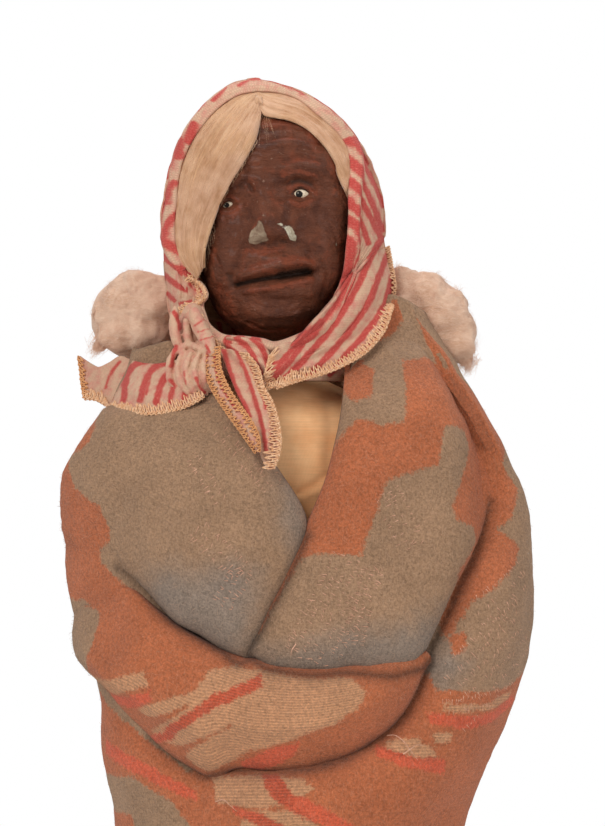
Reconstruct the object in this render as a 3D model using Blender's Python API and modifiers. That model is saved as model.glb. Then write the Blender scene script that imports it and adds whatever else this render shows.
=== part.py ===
"""Standing doll with a carved dried-apple head, a mohair wig, a tied headscarf and a wrapped wool blanket.

Metres, +Z up. The doll faces -Y. Everything is modelled about the spine, whose foot point is the empty "doll",
and the head group hangs from the empty "head_turn", which lies on the neck dowel's axis.
"""

import math

import bmesh
import bpy
from mathutils import Matrix, Vector

mm = 0.001

# Driving sizes
blanket_half_width = 89.3 * mm
blanket_front_depth = 50 * mm
blanket_back_depth = 47 * mm
collar_height = 356 * mm
blanket_hem_height = 66 * mm
blanket_thickness = 4.5 * mm
dress_half_width = 52 * mm
dress_half_depth = 37 * mm
dress_hem_height = 52 * mm
muslin_thickness = 1.2 * mm
head_half_width = 30 * mm
head_half_depth = 31 * mm
head_half_height = 46 * mm
scarf_thickness = 1.2 * mm
hair_over_head = 7.3 * mm
head_tilt = math.radians(8)
head_yaw = math.radians(8)
neck_offset = 8 * mm
fit_gap = 0.3 * mm
soft_gap = 0.5 * mm
overrun = 10 * mm

# Heights that follow from the collar and the head
collar_above_dress = 33 * mm
hood_overlap = 1 * mm
head_rise = 60.5 * mm
dress_top_height = collar_height - collar_above_dress
hood_base = dress_top_height - hood_overlap
head_middle = hood_base + head_rise
doll_height = head_middle + head_half_height + hair_over_head + scarf_thickness
hood_height = doll_height - hood_base

# Counts of facets
around_body = 32
around_dress = 28
around_head = 36
rings_of_head = 26
around_hood = 32
around_rod = 16
around_roll = 12
blanket_triangles = 1050

parts = bpy.data.collections.new("apple_head_doll")
cutters = bpy.data.collections.new("cutters")


def clear_scene():
    for obj in list(bpy.data.objects):
        bpy.data.objects.remove(obj)
    bpy.context.scene.collection.children.link(parts)
    bpy.context.scene.collection.children.link(cutters)


# Materials

def make_material(name, colour, roughness, metallic=0.0):
    material = bpy.data.materials.new(name)
    material.use_nodes = True
    shader = material.node_tree.nodes["Principled BSDF"]
    shader.inputs["Base Color"].default_value = (*colour, 1.0)
    shader.inputs["Roughness"].default_value = roughness
    shader.inputs["Metallic"].default_value = metallic
    return material


wool = make_material("wool_blanket", (0.42, 0.22, 0.13), 0.95)
fleece = make_material("fleece_wadding", (0.66, 0.50, 0.40), 1.0)
muslin = make_material("muslin", (0.60, 0.38, 0.20), 0.9)
sacking = make_material("sacking", (0.52, 0.42, 0.28), 0.95)
straw = make_material("straw", (0.62, 0.48, 0.22), 0.9)
twine = make_material("twine", (0.45, 0.33, 0.20), 0.9)
pine = make_material("pine", (0.62, 0.44, 0.26), 0.7)
steel = make_material("steel", (0.55, 0.55, 0.55), 0.35, 1.0)
apple = make_material("dried_apple", (0.10, 0.045, 0.028), 0.45)
bead = make_material("eye_bead", (0.80, 0.76, 0.66), 0.25)
mohair = make_material("mohair", (0.68, 0.50, 0.36), 0.8)
cotton = make_material("striped_cotton", (0.66, 0.34, 0.28), 0.9)
felt = make_material("felt", (0.24, 0.10, 0.07), 0.95)
leather = make_material("leather", (0.36, 0.20, 0.10), 0.6)


# Shared modelling steps

def add_part(name, bm, material, collection=None):
    """A named object from a bmesh, in the doll's own frame."""
    mesh = bpy.data.meshes.new(name)
    bm.to_mesh(mesh)
    bm.free()
    mesh.materials.append(material)
    mesh.shade_smooth()
    mesh.set_sharp_from_angle(angle=math.radians(40))
    obj = bpy.data.objects.new(name, mesh)
    (collection or parts).objects.link(obj)
    return obj


def add_cutter(name, bm):
    obj = add_part(name, bm, wool, cutters)
    obj.hide_render = True
    obj.display_type = "WIRE"
    return obj


def bake(obj):
    """Puts the result of the modifiers into the object's own mesh."""
    graph = bpy.context.evaluated_depsgraph_get()
    mesh = bpy.data.meshes.new_from_object(obj.evaluated_get(graph))
    obj.modifiers.clear()
    obj.data = mesh
    return obj


def combine(obj, operation, other):
    """A Boolean with another object, put into the mesh at once."""
    modifier = obj.modifiers.new(operation.lower(), "BOOLEAN")
    modifier.operation = operation
    modifier.solver = "EXACT"
    modifier.object = other
    bake(obj)
    bm = bmesh.new()
    bm.from_mesh(obj.data)
    bmesh.ops.remove_doubles(bm, verts=bm.verts, dist=weld_distance)
    bmesh.ops.dissolve_degenerate(bm, edges=bm.edges, dist=weld_distance)
    if all(edge.is_manifold for edge in bm.edges):
        bm.to_mesh(obj.data)
    bm.free()
    return obj


weld_distance = 0.001 * mm


def grown(obj, gap):
    """A cutter of the object's shape, swelled by the gap along its normals."""
    bm = bmesh.new()
    bm.from_mesh(obj.data)
    bm.normal_update()
    for vert in bm.verts:
        vert.co += vert.normal * gap * vert.calc_shell_factor()
    return add_cutter(obj.name + "_clearance", bm)


def keep_clear(obj, *neighbours, gap=fit_gap):
    """Cuts each neighbour's shape out of the object, leaving the gap."""
    for neighbour in neighbours:
        combine(obj, "DIFFERENCE", grown(neighbour, gap))
    return obj


def spline_rows(rows, per_span):
    """Rows of numbers read from a smooth curve through the given ones."""
    out = []
    last = len(rows) - 1
    for span in range(last):
        before = rows[max(span - 1, 0)]
        start = rows[span]
        end = rows[span + 1]
        after = rows[min(span + 2, last)]
        for step in range(per_span):
            t = step / per_span
            out.append(tuple(
                0.5 * (2 * b + (c - a) * t + (2 * a - 5 * b + 4 * c - d) * t ** 2 + (3 * b - a - 3 * c + d) * t ** 3)
                for a, b, c, d in zip(before, start, end, after)
            ))
    out.append(tuple(rows[last]))
    return out


def loft(rings):
    """A closed skin through rings of points, with both ends capped."""
    bm = bmesh.new()
    loops = [[bm.verts.new(point) for point in ring] for ring in rings]
    count = len(loops[0])
    for low, high in zip(loops, loops[1:]):
        for i in range(count):
            j = (i + 1) % count
            bm.faces.new((low[i], low[j], high[j], high[i]))
    bm.faces.new(list(reversed(loops[0])))
    bm.faces.new(loops[-1])
    return bm


def oval(centre_x, centre_y, half_width, half_depth, height, count):
    """A level ring of points, anticlockwise from +X as seen from above."""
    return [
        Vector((
            centre_x + half_width * math.cos(2 * math.pi * i / count),
            centre_y + half_depth * math.sin(2 * math.pi * i / count),
            height,
        ))
        for i in range(count)
    ]


def rod(radius, low, high, x=0.0, y=0.0, half_depth=None, count=around_rod):
    """An upright cylinder, round or oval."""
    bm = bmesh.new()
    bmesh.ops.create_cone(
        bm, cap_ends=True, segments=count, radius1=radius, radius2=radius, depth=high - low
    )
    bmesh.ops.scale(bm, vec=(1, (half_depth or radius) / radius, 1), verts=bm.verts)
    bmesh.ops.translate(bm, vec=(x, y, (low + high) / 2), verts=bm.verts)
    return bm


def block(half_x, half_y, low, high, x=0.0, y=0.0):
    bm = bmesh.new()
    bmesh.ops.create_cube(bm, size=1)
    bmesh.ops.scale(bm, vec=(2 * half_x, 2 * half_y, high - low), verts=bm.verts)
    bmesh.ops.translate(bm, vec=(x, y, (low + high) / 2), verts=bm.verts)
    return bm


def ball(half_x, half_y, half_z, centre, segments, rings, tilt=0.0):
    """An egg shape, turned about the front-to-back axis by the tilt."""
    bm = bmesh.new()
    bmesh.ops.create_uvsphere(bm, u_segments=segments, v_segments=rings, radius=1)
    bmesh.ops.scale(bm, vec=(half_x, half_y, half_z), verts=bm.verts)
    bmesh.ops.rotate(bm, cent=(0, 0, 0), matrix=Matrix.Rotation(tilt, 3, "Y"), verts=bm.verts)
    bmesh.ops.translate(bm, vec=centre, verts=bm.verts)
    return bm


def front_prism(outline, near, far):
    """An outline in X and Z, drawn out along Y from near to far."""
    bm = bmesh.new()
    face = bm.faces.new([bm.verts.new((x, far, z)) for x, z in outline])
    pushed = bmesh.ops.extrude_face_region(bm, geom=[face])["geom"]
    moved = [v for v in pushed if isinstance(v, bmesh.types.BMVert)]
    bmesh.ops.translate(bm, vec=(0, near - far, 0), verts=moved)
    bmesh.ops.recalc_face_normals(bm, faces=bm.faces)
    return bm


def sweep(rows, axis_x, count):
    """A flattened tube along rows of (x, y, z, half_width, half_thickness).

    The thin way points out from the upright line at axis_x, as cloth lies round a neck.
    """
    rings = []
    for i, (x, y, z, half_width, half_thickness) in enumerate(rows):
        before = Vector(rows[max(i - 1, 0)][:3])
        after = Vector(rows[min(i + 1, len(rows) - 1)][:3])
        along = (after - before).normalized()
        out = Vector((x - axis_x, y, 0)).normalized()
        out = (out - along * out.dot(along)).normalized()
        across = along.cross(out)
        centre = Vector((x, y, z))
        rings.append([
            centre
            + across * (half_width * math.cos(2 * math.pi * k / count))
            + out * (half_thickness * math.sin(2 * math.pi * k / count))
            for k in range(count)
        ])
    bm = loft(rings)
    bmesh.ops.recalc_face_normals(bm, faces=bm.faces)
    return bm


# The body's lofts. Each row: height share of the collar height, then extents as shares of the sizes named below.

# left and right as shares of blanket_half_width, front of blanket_front_depth, back of blanket_back_depth
blanket_row_shares = [
    (0.185, 0.650, 0.605, 0.880, 0.850),
    (0.281, 0.695, 0.640, 0.920, 0.890),
    (0.430, 0.784, 0.705, 0.980, 0.957),
    (0.517, 0.834, 0.840, 1.000, 1.000),
    (0.565, 0.851, 0.918, 1.000, 1.000),
    (0.610, 0.896, 0.969, 1.000, 1.000),
    (0.652, 0.952, 0.997, 0.980, 1.000),
    (0.694, 0.985, 0.997, 0.960, 1.000),
    (0.730, 1.000, 0.979, 0.940, 0.980),
    (0.778, 0.979, 0.941, 0.920, 0.980),
    (0.820, 0.924, 0.881, 0.880, 0.970),
    (0.876, 0.817, 0.773, 0.760, 0.985),
    (0.927, 0.700, 0.660, 0.540, 1.020),
    (0.972, 0.672, 0.530, 0.440, 1.040),
    (1.010, 0.655, 0.480, 0.380, 1.050),
]

# half-width as a share of dress_half_width, half-depth of dress_half_depth, centre as a share of neck_offset
dress_row_shares = [
    (0.146, 0.93, 0.89, 0.0),
    (0.281, 0.90, 0.89, 0.0),
    (0.449, 0.93, 0.95, 0.0),
    (0.590, 1.00, 1.00, 0.0),
    (0.730, 1.00, 0.97, 0.1),
    (0.815, 0.98, 0.90, 0.4),
    (0.860, 0.86, 0.78, 0.7),
    (0.888, 0.62, 0.64, 0.9),
    (0.907, 0.36, 0.47, 1.0),
]


def blanket_rings(inset, low, high):
    """Level rings of the blanket's barrel from low to high, drawn in by the inset."""
    rings = []
    for height, left, right, front, back in blanket_row_shares:
        x_low = inset - left * blanket_half_width
        x_high = right * blanket_half_width - inset
        y_low = inset - front * blanket_front_depth
        y_high = back * blanket_back_depth - inset
        rings.append(oval(
            (x_low + x_high) / 2, (y_low + y_high) / 2, (x_high - x_low) / 2, (y_high - y_low) / 2,
            height * collar_height, around_body,
        ))
    return clipped(rings, low, high)


def ring_at(rings, height):
    """The ring at a height: between two rings, or an end ring carried straight on."""
    if height <= rings[0][0].z:
        return [Vector((point.x, point.y, height)) for point in rings[0]]
    for low, high in zip(rings, rings[1:]):
        if height <= high[0].z:
            share = (height - low[0].z) / (high[0].z - low[0].z)
            return [a.lerp(b, share) for a, b in zip(low, high)]
    return [Vector((point.x, point.y, height)) for point in rings[-1]]


def clipped(rings, low, high):
    """The rings from low to high, with one at each of those heights."""
    return [ring_at(rings, low), *[ring for ring in rings if low < ring[0].z < high], ring_at(rings, high)]


def dress_rings(inset, low, high):
    """Level rings of the dress from low to high, drawn in by the inset."""
    rings = [
        oval(
            -centre * neck_offset, 0, wide * dress_half_width - inset, deep * dress_half_depth - inset,
            height * collar_height, around_dress,
        )
        for height, wide, deep, centre in dress_row_shares
    ]
    return clipped(rings, low, high)


# Wooden frame

spine_radius = 6 * mm
spine_below_middle = 20.5 * mm
spine_top_height = head_middle - spine_below_middle
board_half_width = 42 * mm
board_half_depth = 26 * mm
board_low = 84 * mm
board_thickness = 12 * mm
board_high = board_low + board_thickness
spine_seat_depth = 9 * mm
spine_tip_length = 14 * mm
spine_tip_share = 0.7
leg_spacing = 40 * mm
leg_radius = 6 * mm
leg_seat_depth = 9 * mm
lath_half_length = 36 * mm
lath_half_height = 7 * mm
lath_thickness = 7 * mm
lath_below_top = 33 * mm
lath_height = dress_top_height - lath_below_top
nail_radius = 1.1 * mm
nail_head_radius = 2.6 * mm
nail_head_thickness = 1.0 * mm
nail_bite = 7 * mm


def make_frame():
    tip_low = spine_top_height - spine_tip_length
    levels = (
        (board_high - spine_seat_depth, spine_radius),
        (tip_low, spine_radius),
        (spine_top_height, spine_radius * spine_tip_share),
    )
    spine = add_part(
        "spine_dowel", loft([oval(-neck_offset, 0, reach, reach, z, around_rod) for z, reach in levels]), pine
    )
    spine_room = grown(spine, fit_gap)

    board = add_part(
        "hip_board",
        rod(board_half_width, board_low, board_high, half_depth=board_half_depth, count=around_body),
        pine,
    )
    seat = rod(
        spine_radius + fit_gap, board_high - spine_seat_depth - fit_gap, board_high + overrun, x=-neck_offset
    )
    combine(board, "DIFFERENCE", add_cutter("spine_seat", seat))
    for side in (-1, 1):
        hole = rod(
            leg_radius + fit_gap, board_low - overrun, board_low + leg_seat_depth + fit_gap,
            x=side * leg_spacing / 2,
        )
        combine(board, "DIFFERENCE", add_cutter("leg_seat", hole))

    lath_front = spine_radius + fit_gap
    lath = add_part(
        "shoulder_lath",
        block(
            lath_half_length, lath_thickness / 2, lath_height - lath_half_height, lath_height + lath_half_height,
            x=-neck_offset, y=lath_front + lath_thickness / 2,
        ),
        pine,
    )
    bevel = lath.modifiers.new("eased_edges", "BEVEL")
    bevel.width = nail_head_thickness
    bevel.segments = 2
    bake(lath)

    nail_tip = spine_radius - nail_bite
    nail_back = lath_front + lath_thickness + fit_gap
    turn = Matrix.Rotation(math.radians(90), 3, "X")
    shank = rod(nail_radius, -nail_back, -nail_tip)
    head = rod(nail_head_radius, -nail_back - nail_head_thickness, -nail_back)
    nail = add_part("lath_nail", shank, steel)
    combine(nail, "UNION", add_cutter("nail_head", head))
    nail.data.transform(turn.to_4x4())
    nail.data.transform(Matrix.Translation((-neck_offset, 0, lath_height)))
    keep_clear(lath, nail)
    keep_clear(spine, nail)
    return spine, spine_room, board, lath, nail


def lath_slot():
    """The room in the straw for the lath and the nail's head behind it."""
    front = spine_radius - fit_gap
    back = spine_radius + lath_thickness + nail_head_thickness + 3 * fit_gap
    return block(
        lath_half_length + fit_gap, (back - front) / 2, lath_height - lath_half_height - fit_gap,
        lath_height + lath_half_height + fit_gap, x=-neck_offset, y=(front + back) / 2,
    )


# Feet and legs

sole_thickness = 2.4 * mm
sole_half_width = 14 * mm
sole_half_length = 30 * mm
toe_reach = 12 * mm
foot_half_width = 10.8 * mm
foot_half_length = 26 * mm
foot_height = 15 * mm
upper_thickness = 1.8 * mm
ankle_radius = 10.5 * mm
ankle_height = 27 * mm
legging_radius = 9.6 * mm
legging_low = 19.5 * mm
foot_seat_depth = 12 * mm


def dome(half_width, half_length, height, low, x, y):
    """The upper half of an egg with its flat side down."""
    bm = ball(half_width, half_length, height, (x, y, low), 16, 10)
    cut = bmesh.ops.bisect_plane(
        bm, geom=bm.verts[:] + bm.edges[:] + bm.faces[:], plane_co=(0, 0, low), plane_no=(0, 0, -1),
        clear_outer=True, dist=weld_distance,
    )
    rim = [e for e in cut["geom_cut"] if isinstance(e, bmesh.types.BMEdge)]
    bmesh.ops.holes_fill(bm, edges=rim, sides=0)
    return bm


def make_leg(side, name, board):
    x = side * leg_spacing / 2
    bottom = sole_thickness + fit_gap
    sole = add_part(
        name + "_sole",
        rod(sole_half_width, 0, sole_thickness, x=x, y=-toe_reach, half_depth=sole_half_length, count=28),
        leather,
    )
    foot = add_part(
        name + "_foot_block", dome(foot_half_width, foot_half_length, foot_height, bottom, x, -toe_reach), pine
    )
    leg_low = bottom + foot_height - foot_seat_depth
    leg = add_part(
        name + "_leg_dowel", rod(leg_radius, leg_low, board_low + leg_seat_depth, x=x), pine
    )
    seat = rod(leg_radius + fit_gap, leg_low - fit_gap, board_low, x=x)
    combine(foot, "DIFFERENCE", add_cutter("dowel_seat", seat))

    legging = add_part(name + "_legging", rod(legging_radius, legging_low, board_low - fit_gap, x=x, count=20), felt)
    bore = rod(leg_radius + fit_gap, legging_low - overrun, board_low + overrun, x=x)
    combine(legging, "DIFFERENCE", add_cutter("legging_bore", bore))

    wall = upper_thickness + fit_gap
    upper = add_part(
        name + "_moccasin",
        dome(foot_half_width + wall, foot_half_length + wall, foot_height + wall, bottom, x, -toe_reach),
        leather,
    )
    cuff = rod(ankle_radius + upper_thickness, bottom + foot_height / 2, ankle_height, x=x, count=20)
    combine(upper, "UNION", add_cutter("cuff", cuff))
    ankle = rod(ankle_radius, bottom + foot_height / 2, ankle_height + overrun, x=x, count=20)
    combine(upper, "DIFFERENCE", add_cutter("ankle_opening", ankle))
    below = dome(
        foot_half_width + fit_gap, foot_half_length + fit_gap, foot_height + 2 * fit_gap, bottom - fit_gap, x,
        -toe_reach,
    )
    combine(upper, "DIFFERENCE", add_cutter("foot_hollow", below))
    return sole, foot, leg, legging, upper


# Stuffed body

bag_thickness = 1.0 * mm
bag_neck_radius = 9.5 * mm
bag_neck_rise = 10 * mm
bag_neck_drop = 7 * mm
bag_neck_top = dress_top_height + bag_neck_rise
bag_neck_low = dress_top_height - bag_neck_drop
bag_low = 82 * mm
twine_radius = 0.9 * mm
twine_rise = 6 * mm
twine_height = dress_top_height + twine_rise
shoulder_drop = 3 * mm


def bag_rings(inset, low, high):
    """The bag follows the dress's inside and narrows to a neck round the spine."""
    body = dress_rings(inset, bag_low, bag_neck_low - shoulder_drop)[:-1]
    reach = bag_neck_radius - inset + muslin_thickness + fit_gap
    neck = [
        oval(-neck_offset, 0, reach, reach, height, around_dress) for height in (bag_neck_low, bag_neck_top)
    ]
    return clipped(body + neck, low, high)


def make_body():
    """The muslin dress, the bag inside it and the straw inside the bag."""
    dress = add_part("muslin_dress", loft(dress_rings(0, dress_hem_height, dress_top_height)), muslin)
    hollow = loft(dress_rings(muslin_thickness, dress_hem_height - overrun, dress_top_height + overrun))
    solid_dress = add_cutter("dress_outside", loft(dress_rings(0, dress_hem_height, dress_top_height)))
    combine(dress, "DIFFERENCE", add_cutter("dress_hollow", hollow))

    skin = muslin_thickness + fit_gap
    bag = add_part("torso_bag", loft(bag_rings(skin, bag_low, bag_neck_top)), sacking)
    inside = skin + bag_thickness
    combine(bag, "DIFFERENCE", add_cutter("bag_hollow", loft(bag_rings(inside, bag_low - overrun, bag_neck_top + overrun))))

    filling_rings = bag_rings(inside + 2 * soft_gap, board_high + fit_gap, bag_neck_low)
    filling = add_part("straw_stuffing", loft(filling_rings), straw)
    tie = bmesh.new()
    turns = 16
    ring = []
    for i in range(turns):
        angle = 2 * math.pi * i / turns
        out = Vector((math.cos(angle), math.sin(angle), 0))
        centre = Vector((-neck_offset, 0, twine_height)) + out * (bag_neck_radius + twine_radius + fit_gap)
        ring.append([
            tie.verts.new(centre + (out * math.cos(a) + Vector((0, 0, 1)) * math.sin(a)) * twine_radius)
            for a in [2 * math.pi * k / 6 for k in range(6)]
        ])
    for i in range(turns):
        for k in range(6):
            tie.faces.new((
                ring[i][k], ring[(i + 1) % turns][k], ring[(i + 1) % turns][(k + 1) % 6], ring[i][(k + 1) % 6]
            ))
    bmesh.ops.recalc_face_normals(tie, faces=tie.faces)
    tie_obj = add_part("neck_twine", tie, twine)
    return dress, solid_dress, bag, filling, tie_obj


# Blanket

# Arm folds: x share of blanket_half_width, y share of blanket_front_depth, height share, radius share of arm_radius
arm_radius = 25 * mm
crossed_over_shares = [
    (-0.69, -0.28, 0.660, 0.84),
    (-0.58, -0.58, 0.604, 0.90),
    (-0.36, -0.76, 0.565, 0.93),
    (-0.13, -0.84, 0.548, 0.85),
    (0.07, -0.88, 0.544, 0.79),
    (0.25, -0.86, 0.550, 0.69),
    (0.38, -0.80, 0.565, 0.54),
    (0.47, -0.72, 0.579, 0.35),
]
crossed_under_shares = [
    (0.78, -0.20, 0.640, 0.75),
    (0.69, -0.40, 0.588, 0.80),
    (0.52, -0.56, 0.525, 0.88),
    (0.27, -0.68, 0.478, 0.88),
    (0.02, -0.76, 0.452, 0.88),
    (-0.20, -0.78, 0.443, 0.86),
    (-0.36, -0.72, 0.444, 0.78),
    (-0.48, -0.60, 0.447, 0.55),
]
# Chest folds: centre x and y shares, height share, half sizes as shares of the same, tilt in degrees
left_chest_shares = (-0.38, -0.28, 0.725, 0.50, 0.82, 0.165)
left_chest_tilt = math.radians(-22)
right_chest_shares = (0.27, -0.32, 0.705, 0.54, 0.83, 0.160)
right_chest_tilt = math.radians(12)

# The doll's own origin lies midway between the foremost fold and the back of the collar
front_reach = max(r * arm_radius - y * blanket_front_depth for x, y, z, r in crossed_over_shares)
back_reach = max(row[-1] for row in blanket_row_shares) * blanket_back_depth
spine_back = (front_reach - back_reach) / 2

# Outline of the open neck, as shares of blanket_half_width and collar_height
open_neck_shares = [
    (-0.605, 1.100), (-0.605, 0.905), (-0.493, 0.890), (-0.302, 0.883), (-0.123, 0.823), (0.011, 0.764),
    (0.050, 0.750), (0.090, 0.775), (0.146, 0.820), (0.190, 0.871), (0.224, 0.916), (0.336, 0.938),
    (0.425, 0.969), (0.431, 1.100),
]
hood_clearance = 4.5 * mm
remesh_size = 2.6 * mm
collar_slope = 0.16
collar_left_drop = 7 * mm

# Wadding tufts: centre and half sizes as shares of tuft_radius, from the shoulder points
tuft_radius = 17 * mm
tuft_below_collar = 8.5 * mm
tuft_height = collar_height - tuft_below_collar
left_tuft_share = 0.733
right_tuft_share = 0.549
tuft_back = 17 * mm
wadding_low = 158 * mm
left_wadding_share = 0.381
right_wadding_share = 0.347


def roll(shares):
    """A tapered tube through the rows of an arm fold."""
    rows = [
        (x * blanket_half_width, y * blanket_front_depth, z * collar_height, r * arm_radius, r * arm_radius)
        for x, y, z, r in spline_rows(shares, 2)
    ]
    return sweep(rows, 0.0, around_roll)


def chest_fold(shares, tilt):
    x, y, z, wide, deep, high = shares
    return ball(
        wide * blanket_half_width, deep * blanket_front_depth, high * collar_height,
        (x * blanket_half_width, y * blanket_front_depth, z * collar_height), 20, 12, tilt,
    )


def add_shape(obj, bm):
    """Joins a bmesh to the object as a further loose body."""
    whole = bmesh.new()
    whole.from_mesh(obj.data)
    extra = bpy.data.meshes.new("extra")
    bm.to_mesh(extra)
    bm.free()
    whole.from_mesh(extra)
    whole.to_mesh(obj.data)
    whole.free()
    bpy.data.meshes.remove(extra)


def make_blanket(solid_dress):
    blanket = add_part("blanket", loft(blanket_rings(0, blanket_hem_height - overrun, collar_height + overrun)), wool)
    add_shape(blanket, roll(crossed_over_shares))
    add_shape(blanket, roll(crossed_under_shares))
    add_shape(blanket, chest_fold(left_chest_shares, left_chest_tilt))
    add_shape(blanket, chest_fold(right_chest_shares, right_chest_tilt))
    remesh = blanket.modifiers.new("one_skin", "REMESH")
    remesh.mode = "VOXEL"
    remesh.voxel_size = remesh_size
    smooth = blanket.modifiers.new("soften", "SMOOTH")
    smooth.factor = 0.5
    smooth.iterations = 4
    bake(blanket)
    thin = blanket.modifiers.new("fewer_faces", "DECIMATE")
    thin.ratio = blanket_triangles / (2 * len(blanket.data.polygons))
    bake(blanket)

    cavity = loft(blanket_rings(blanket_thickness, blanket_hem_height - 2 * overrun, collar_height + 2 * overrun))
    combine(blanket, "DIFFERENCE", add_cutter("blanket_cavity", cavity))
    below = block(2 * blanket_half_width, 2 * blanket_half_width, -overrun, blanket_hem_height)
    combine(blanket, "DIFFERENCE", add_cutter("below_hem", below))

    top = block(
        2 * blanket_half_width, 2 * blanket_half_width, collar_height - collar_left_drop, doll_height
    )
    bmesh.ops.rotate(
        top, cent=(-neck_offset, 0, collar_height - collar_left_drop),
        matrix=Matrix.Rotation(-math.atan(collar_slope), 3, "Y"), verts=top.verts,
    )
    above_collar = add_cutter("above_collar", top)
    outline = [(x * blanket_half_width, z * collar_height) for x, z in open_neck_shares]
    open_neck = add_cutter("open_neck", front_prism(outline, -2 * blanket_half_width, well_front))
    well = rod(
        hood_half_width + hood_clearance, dress_top_height - neck_well_depth, doll_height, x=-neck_offset,
        half_depth=hood_half_depth + hood_clearance, count=around_body,
    )
    neck_well = add_cutter("neck_well", well)
    for cutter in (above_collar, open_neck, neck_well):
        combine(blanket, "DIFFERENCE", cutter)

    waddings = []
    for side, name, tuft_share, inner_share in (
        (-1, "wadding_left", left_tuft_share, left_wadding_share),
        (1, "wadding_right", right_tuft_share, right_wadding_share),
    ):
        tuft_x = tuft_share * blanket_half_width
        inner = inner_share * blanket_half_width
        wadding = add_part(name, loft(blanket_rings(blanket_thickness + soft_gap, wadding_low, wadding_top)), fleece)
        middle = block(
            blanket_half_width, 2 * blanket_half_width, -overrun, doll_height,
            x=side * (inner - blanket_half_width),
        )
        combine(wadding, "DIFFERENCE", add_cutter("wadding_middle", middle))
        tuft = ball(
            tuft_radius, tuft_deep_share * tuft_radius, tuft_radius,
            (side * tuft_x, tuft_back, tuft_height), 16, 10,
        )
        for vert in tuft.verts:
            swirl = math.sin(5 * math.atan2(vert.co.z - tuft_height, vert.co.x - side * tuft_x))
            vert.co.y += swirl * tuft_lump
            vert.co.z += swirl * tuft_lump
        tuft_obj = add_cutter(name + "_tuft", tuft)
        combine(blanket, "DIFFERENCE", grown(tuft_obj, soft_gap))
        combine(wadding, "UNION", tuft_obj)
        for cutter in (open_neck, neck_well):
            combine(wadding, "DIFFERENCE", cutter)
        combine(wadding, "DIFFERENCE", grown(solid_dress, soft_gap))
        waddings.append(wadding)
    return blanket, waddings


tuft_deep_share = 0.82
tuft_lump = 0.9 * mm
wadding_below_collar = 18 * mm
wadding_top = collar_height - wadding_below_collar
well_front = 2 * mm
neck_well_depth = 6 * mm

# Head: dents and swells as (across, up, half across, half up, height) in shares of the head's half sizes

head_centre = Vector((-neck_offset, 0, head_middle))
brow_shares = (0.42, 0.38, 0.26, 0.09, 0.055)
socket_shares = (0.46, 0.20, 0.20, 0.10, -0.085)
cheek_shares = (0.56, -0.08, 0.24, 0.15, 0.045)
nostril_shares = (0.17, -0.12, 0.09, 0.06, 0.070)
mouth_corner_shares = (0.52, -0.44, 0.10, 0.10, -0.040)
middle_relief_shares = [
    (0.0, 0.14, 0.11, 0.20, 0.090),
    (0.0, -0.07, 0.15, 0.09, 0.150),
    (0.0, -0.40, 0.40, 0.12, 0.060),
    (0.0, -0.57, 0.30, 0.05, -0.045),
    (0.0, -0.78, 0.30, 0.14, 0.050),
]
eye_half_length = 3.0 * mm
eye_half_height = 1.9 * mm
eye_half_depth = 2.4 * mm
eye_spacing = 28 * mm
eye_up = 9.5 * mm
eye_sink = 1.0 * mm
mouth_half_length = 14 * mm
mouth_down = 19 * mm
mouth_sag = 2.2 * mm
mouth_radius = 1.5 * mm
head_bore_spare = 1.5 * mm
head_bore_depth = spine_top_height + head_bore_spare


def head_turned(bm):
    """Turns a shape made about the head's centre to the head's place."""
    bm.transform(
        Matrix.Translation(head_centre)
        @ Matrix.Rotation(-head_tilt, 4, "Y")
        @ Matrix.Rotation(-head_yaw, 4, "Z")
    )
    return bm


def relief(u, w):
    """How far the face stands out at a place given in shares of the half sizes."""
    total = 0.0
    for across, up, half_u, half_w, height in middle_relief_shares:
        total += height * math.exp(-((u - across) / half_u) ** 2 - ((w - up) / half_w) ** 2)
    for across, up, half_u, half_w, height in (
        brow_shares, socket_shares, cheek_shares, nostril_shares, mouth_corner_shares,
    ):
        total += height * math.exp(-((abs(u) - across) / half_u) ** 2 - ((w - up) / half_w) ** 2)
    return total


def face_depth(x, z):
    """The face's depth at a place in front, in the head's own frame."""
    u = x / head_half_width
    w = z / head_half_height
    round_share = math.sqrt(max(1 - u * u - w * w, 0.0))
    return -head_half_depth * (round_share + relief(u, w))


def skull(segments, rings, swell):
    """The head's carved shape, swelled all over."""
    bm = bmesh.new()
    bmesh.ops.create_uvsphere(bm, u_segments=segments, v_segments=rings, radius=1)
    for vert in bm.verts:
        u, v, w = vert.co
        relief_depth = head_half_depth * relief(u, w) * min(1.0, -2 * min(v, 0.0))
        vert.co = Vector((
            u * (head_half_width + swell), v * (head_half_depth + swell) - relief_depth,
            w * (head_half_height + swell),
        ))
    return head_turned(bm)


def make_head():
    head = add_part("apple_head", skull(around_head, rings_of_head, 0), apple)
    room = add_cutter("head_room", skull(around_head // 2, rings_of_head // 2, hair_gap))

    mouth_rows = []
    steps = 8
    for i in range(steps + 1):
        share = 2 * i / steps - 1
        x = share * mouth_half_length
        z = -mouth_down - mouth_sag * share ** 2
        radius = mouth_radius * (1 - 0.55 * share ** 4)
        mouth_rows.append((x, face_depth(x, z), z, radius, radius))
    combine(head, "DIFFERENCE", add_cutter("mouth_slit", head_turned(sweep(mouth_rows, 0.0, 8))))

    eyes = []
    for side, name in ((-1, "eye_left"), (1, "eye_right")):
        x = side * eye_spacing / 2
        centre = (x, face_depth(x, eye_up) + eye_sink, eye_up)
        eye = add_part(
            name, head_turned(ball(eye_half_length, eye_half_depth, eye_half_height, centre, 12, 8)), bead
        )
        keep_clear(head, eye, gap=soft_gap)
        eyes.append(eye)

    bore = rod(spine_radius + fit_gap, 0, head_bore_depth, x=-neck_offset)
    combine(head, "DIFFERENCE", add_cutter("neck_bore", bore))
    return head, eyes, room


# Wig and headscarf

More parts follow.
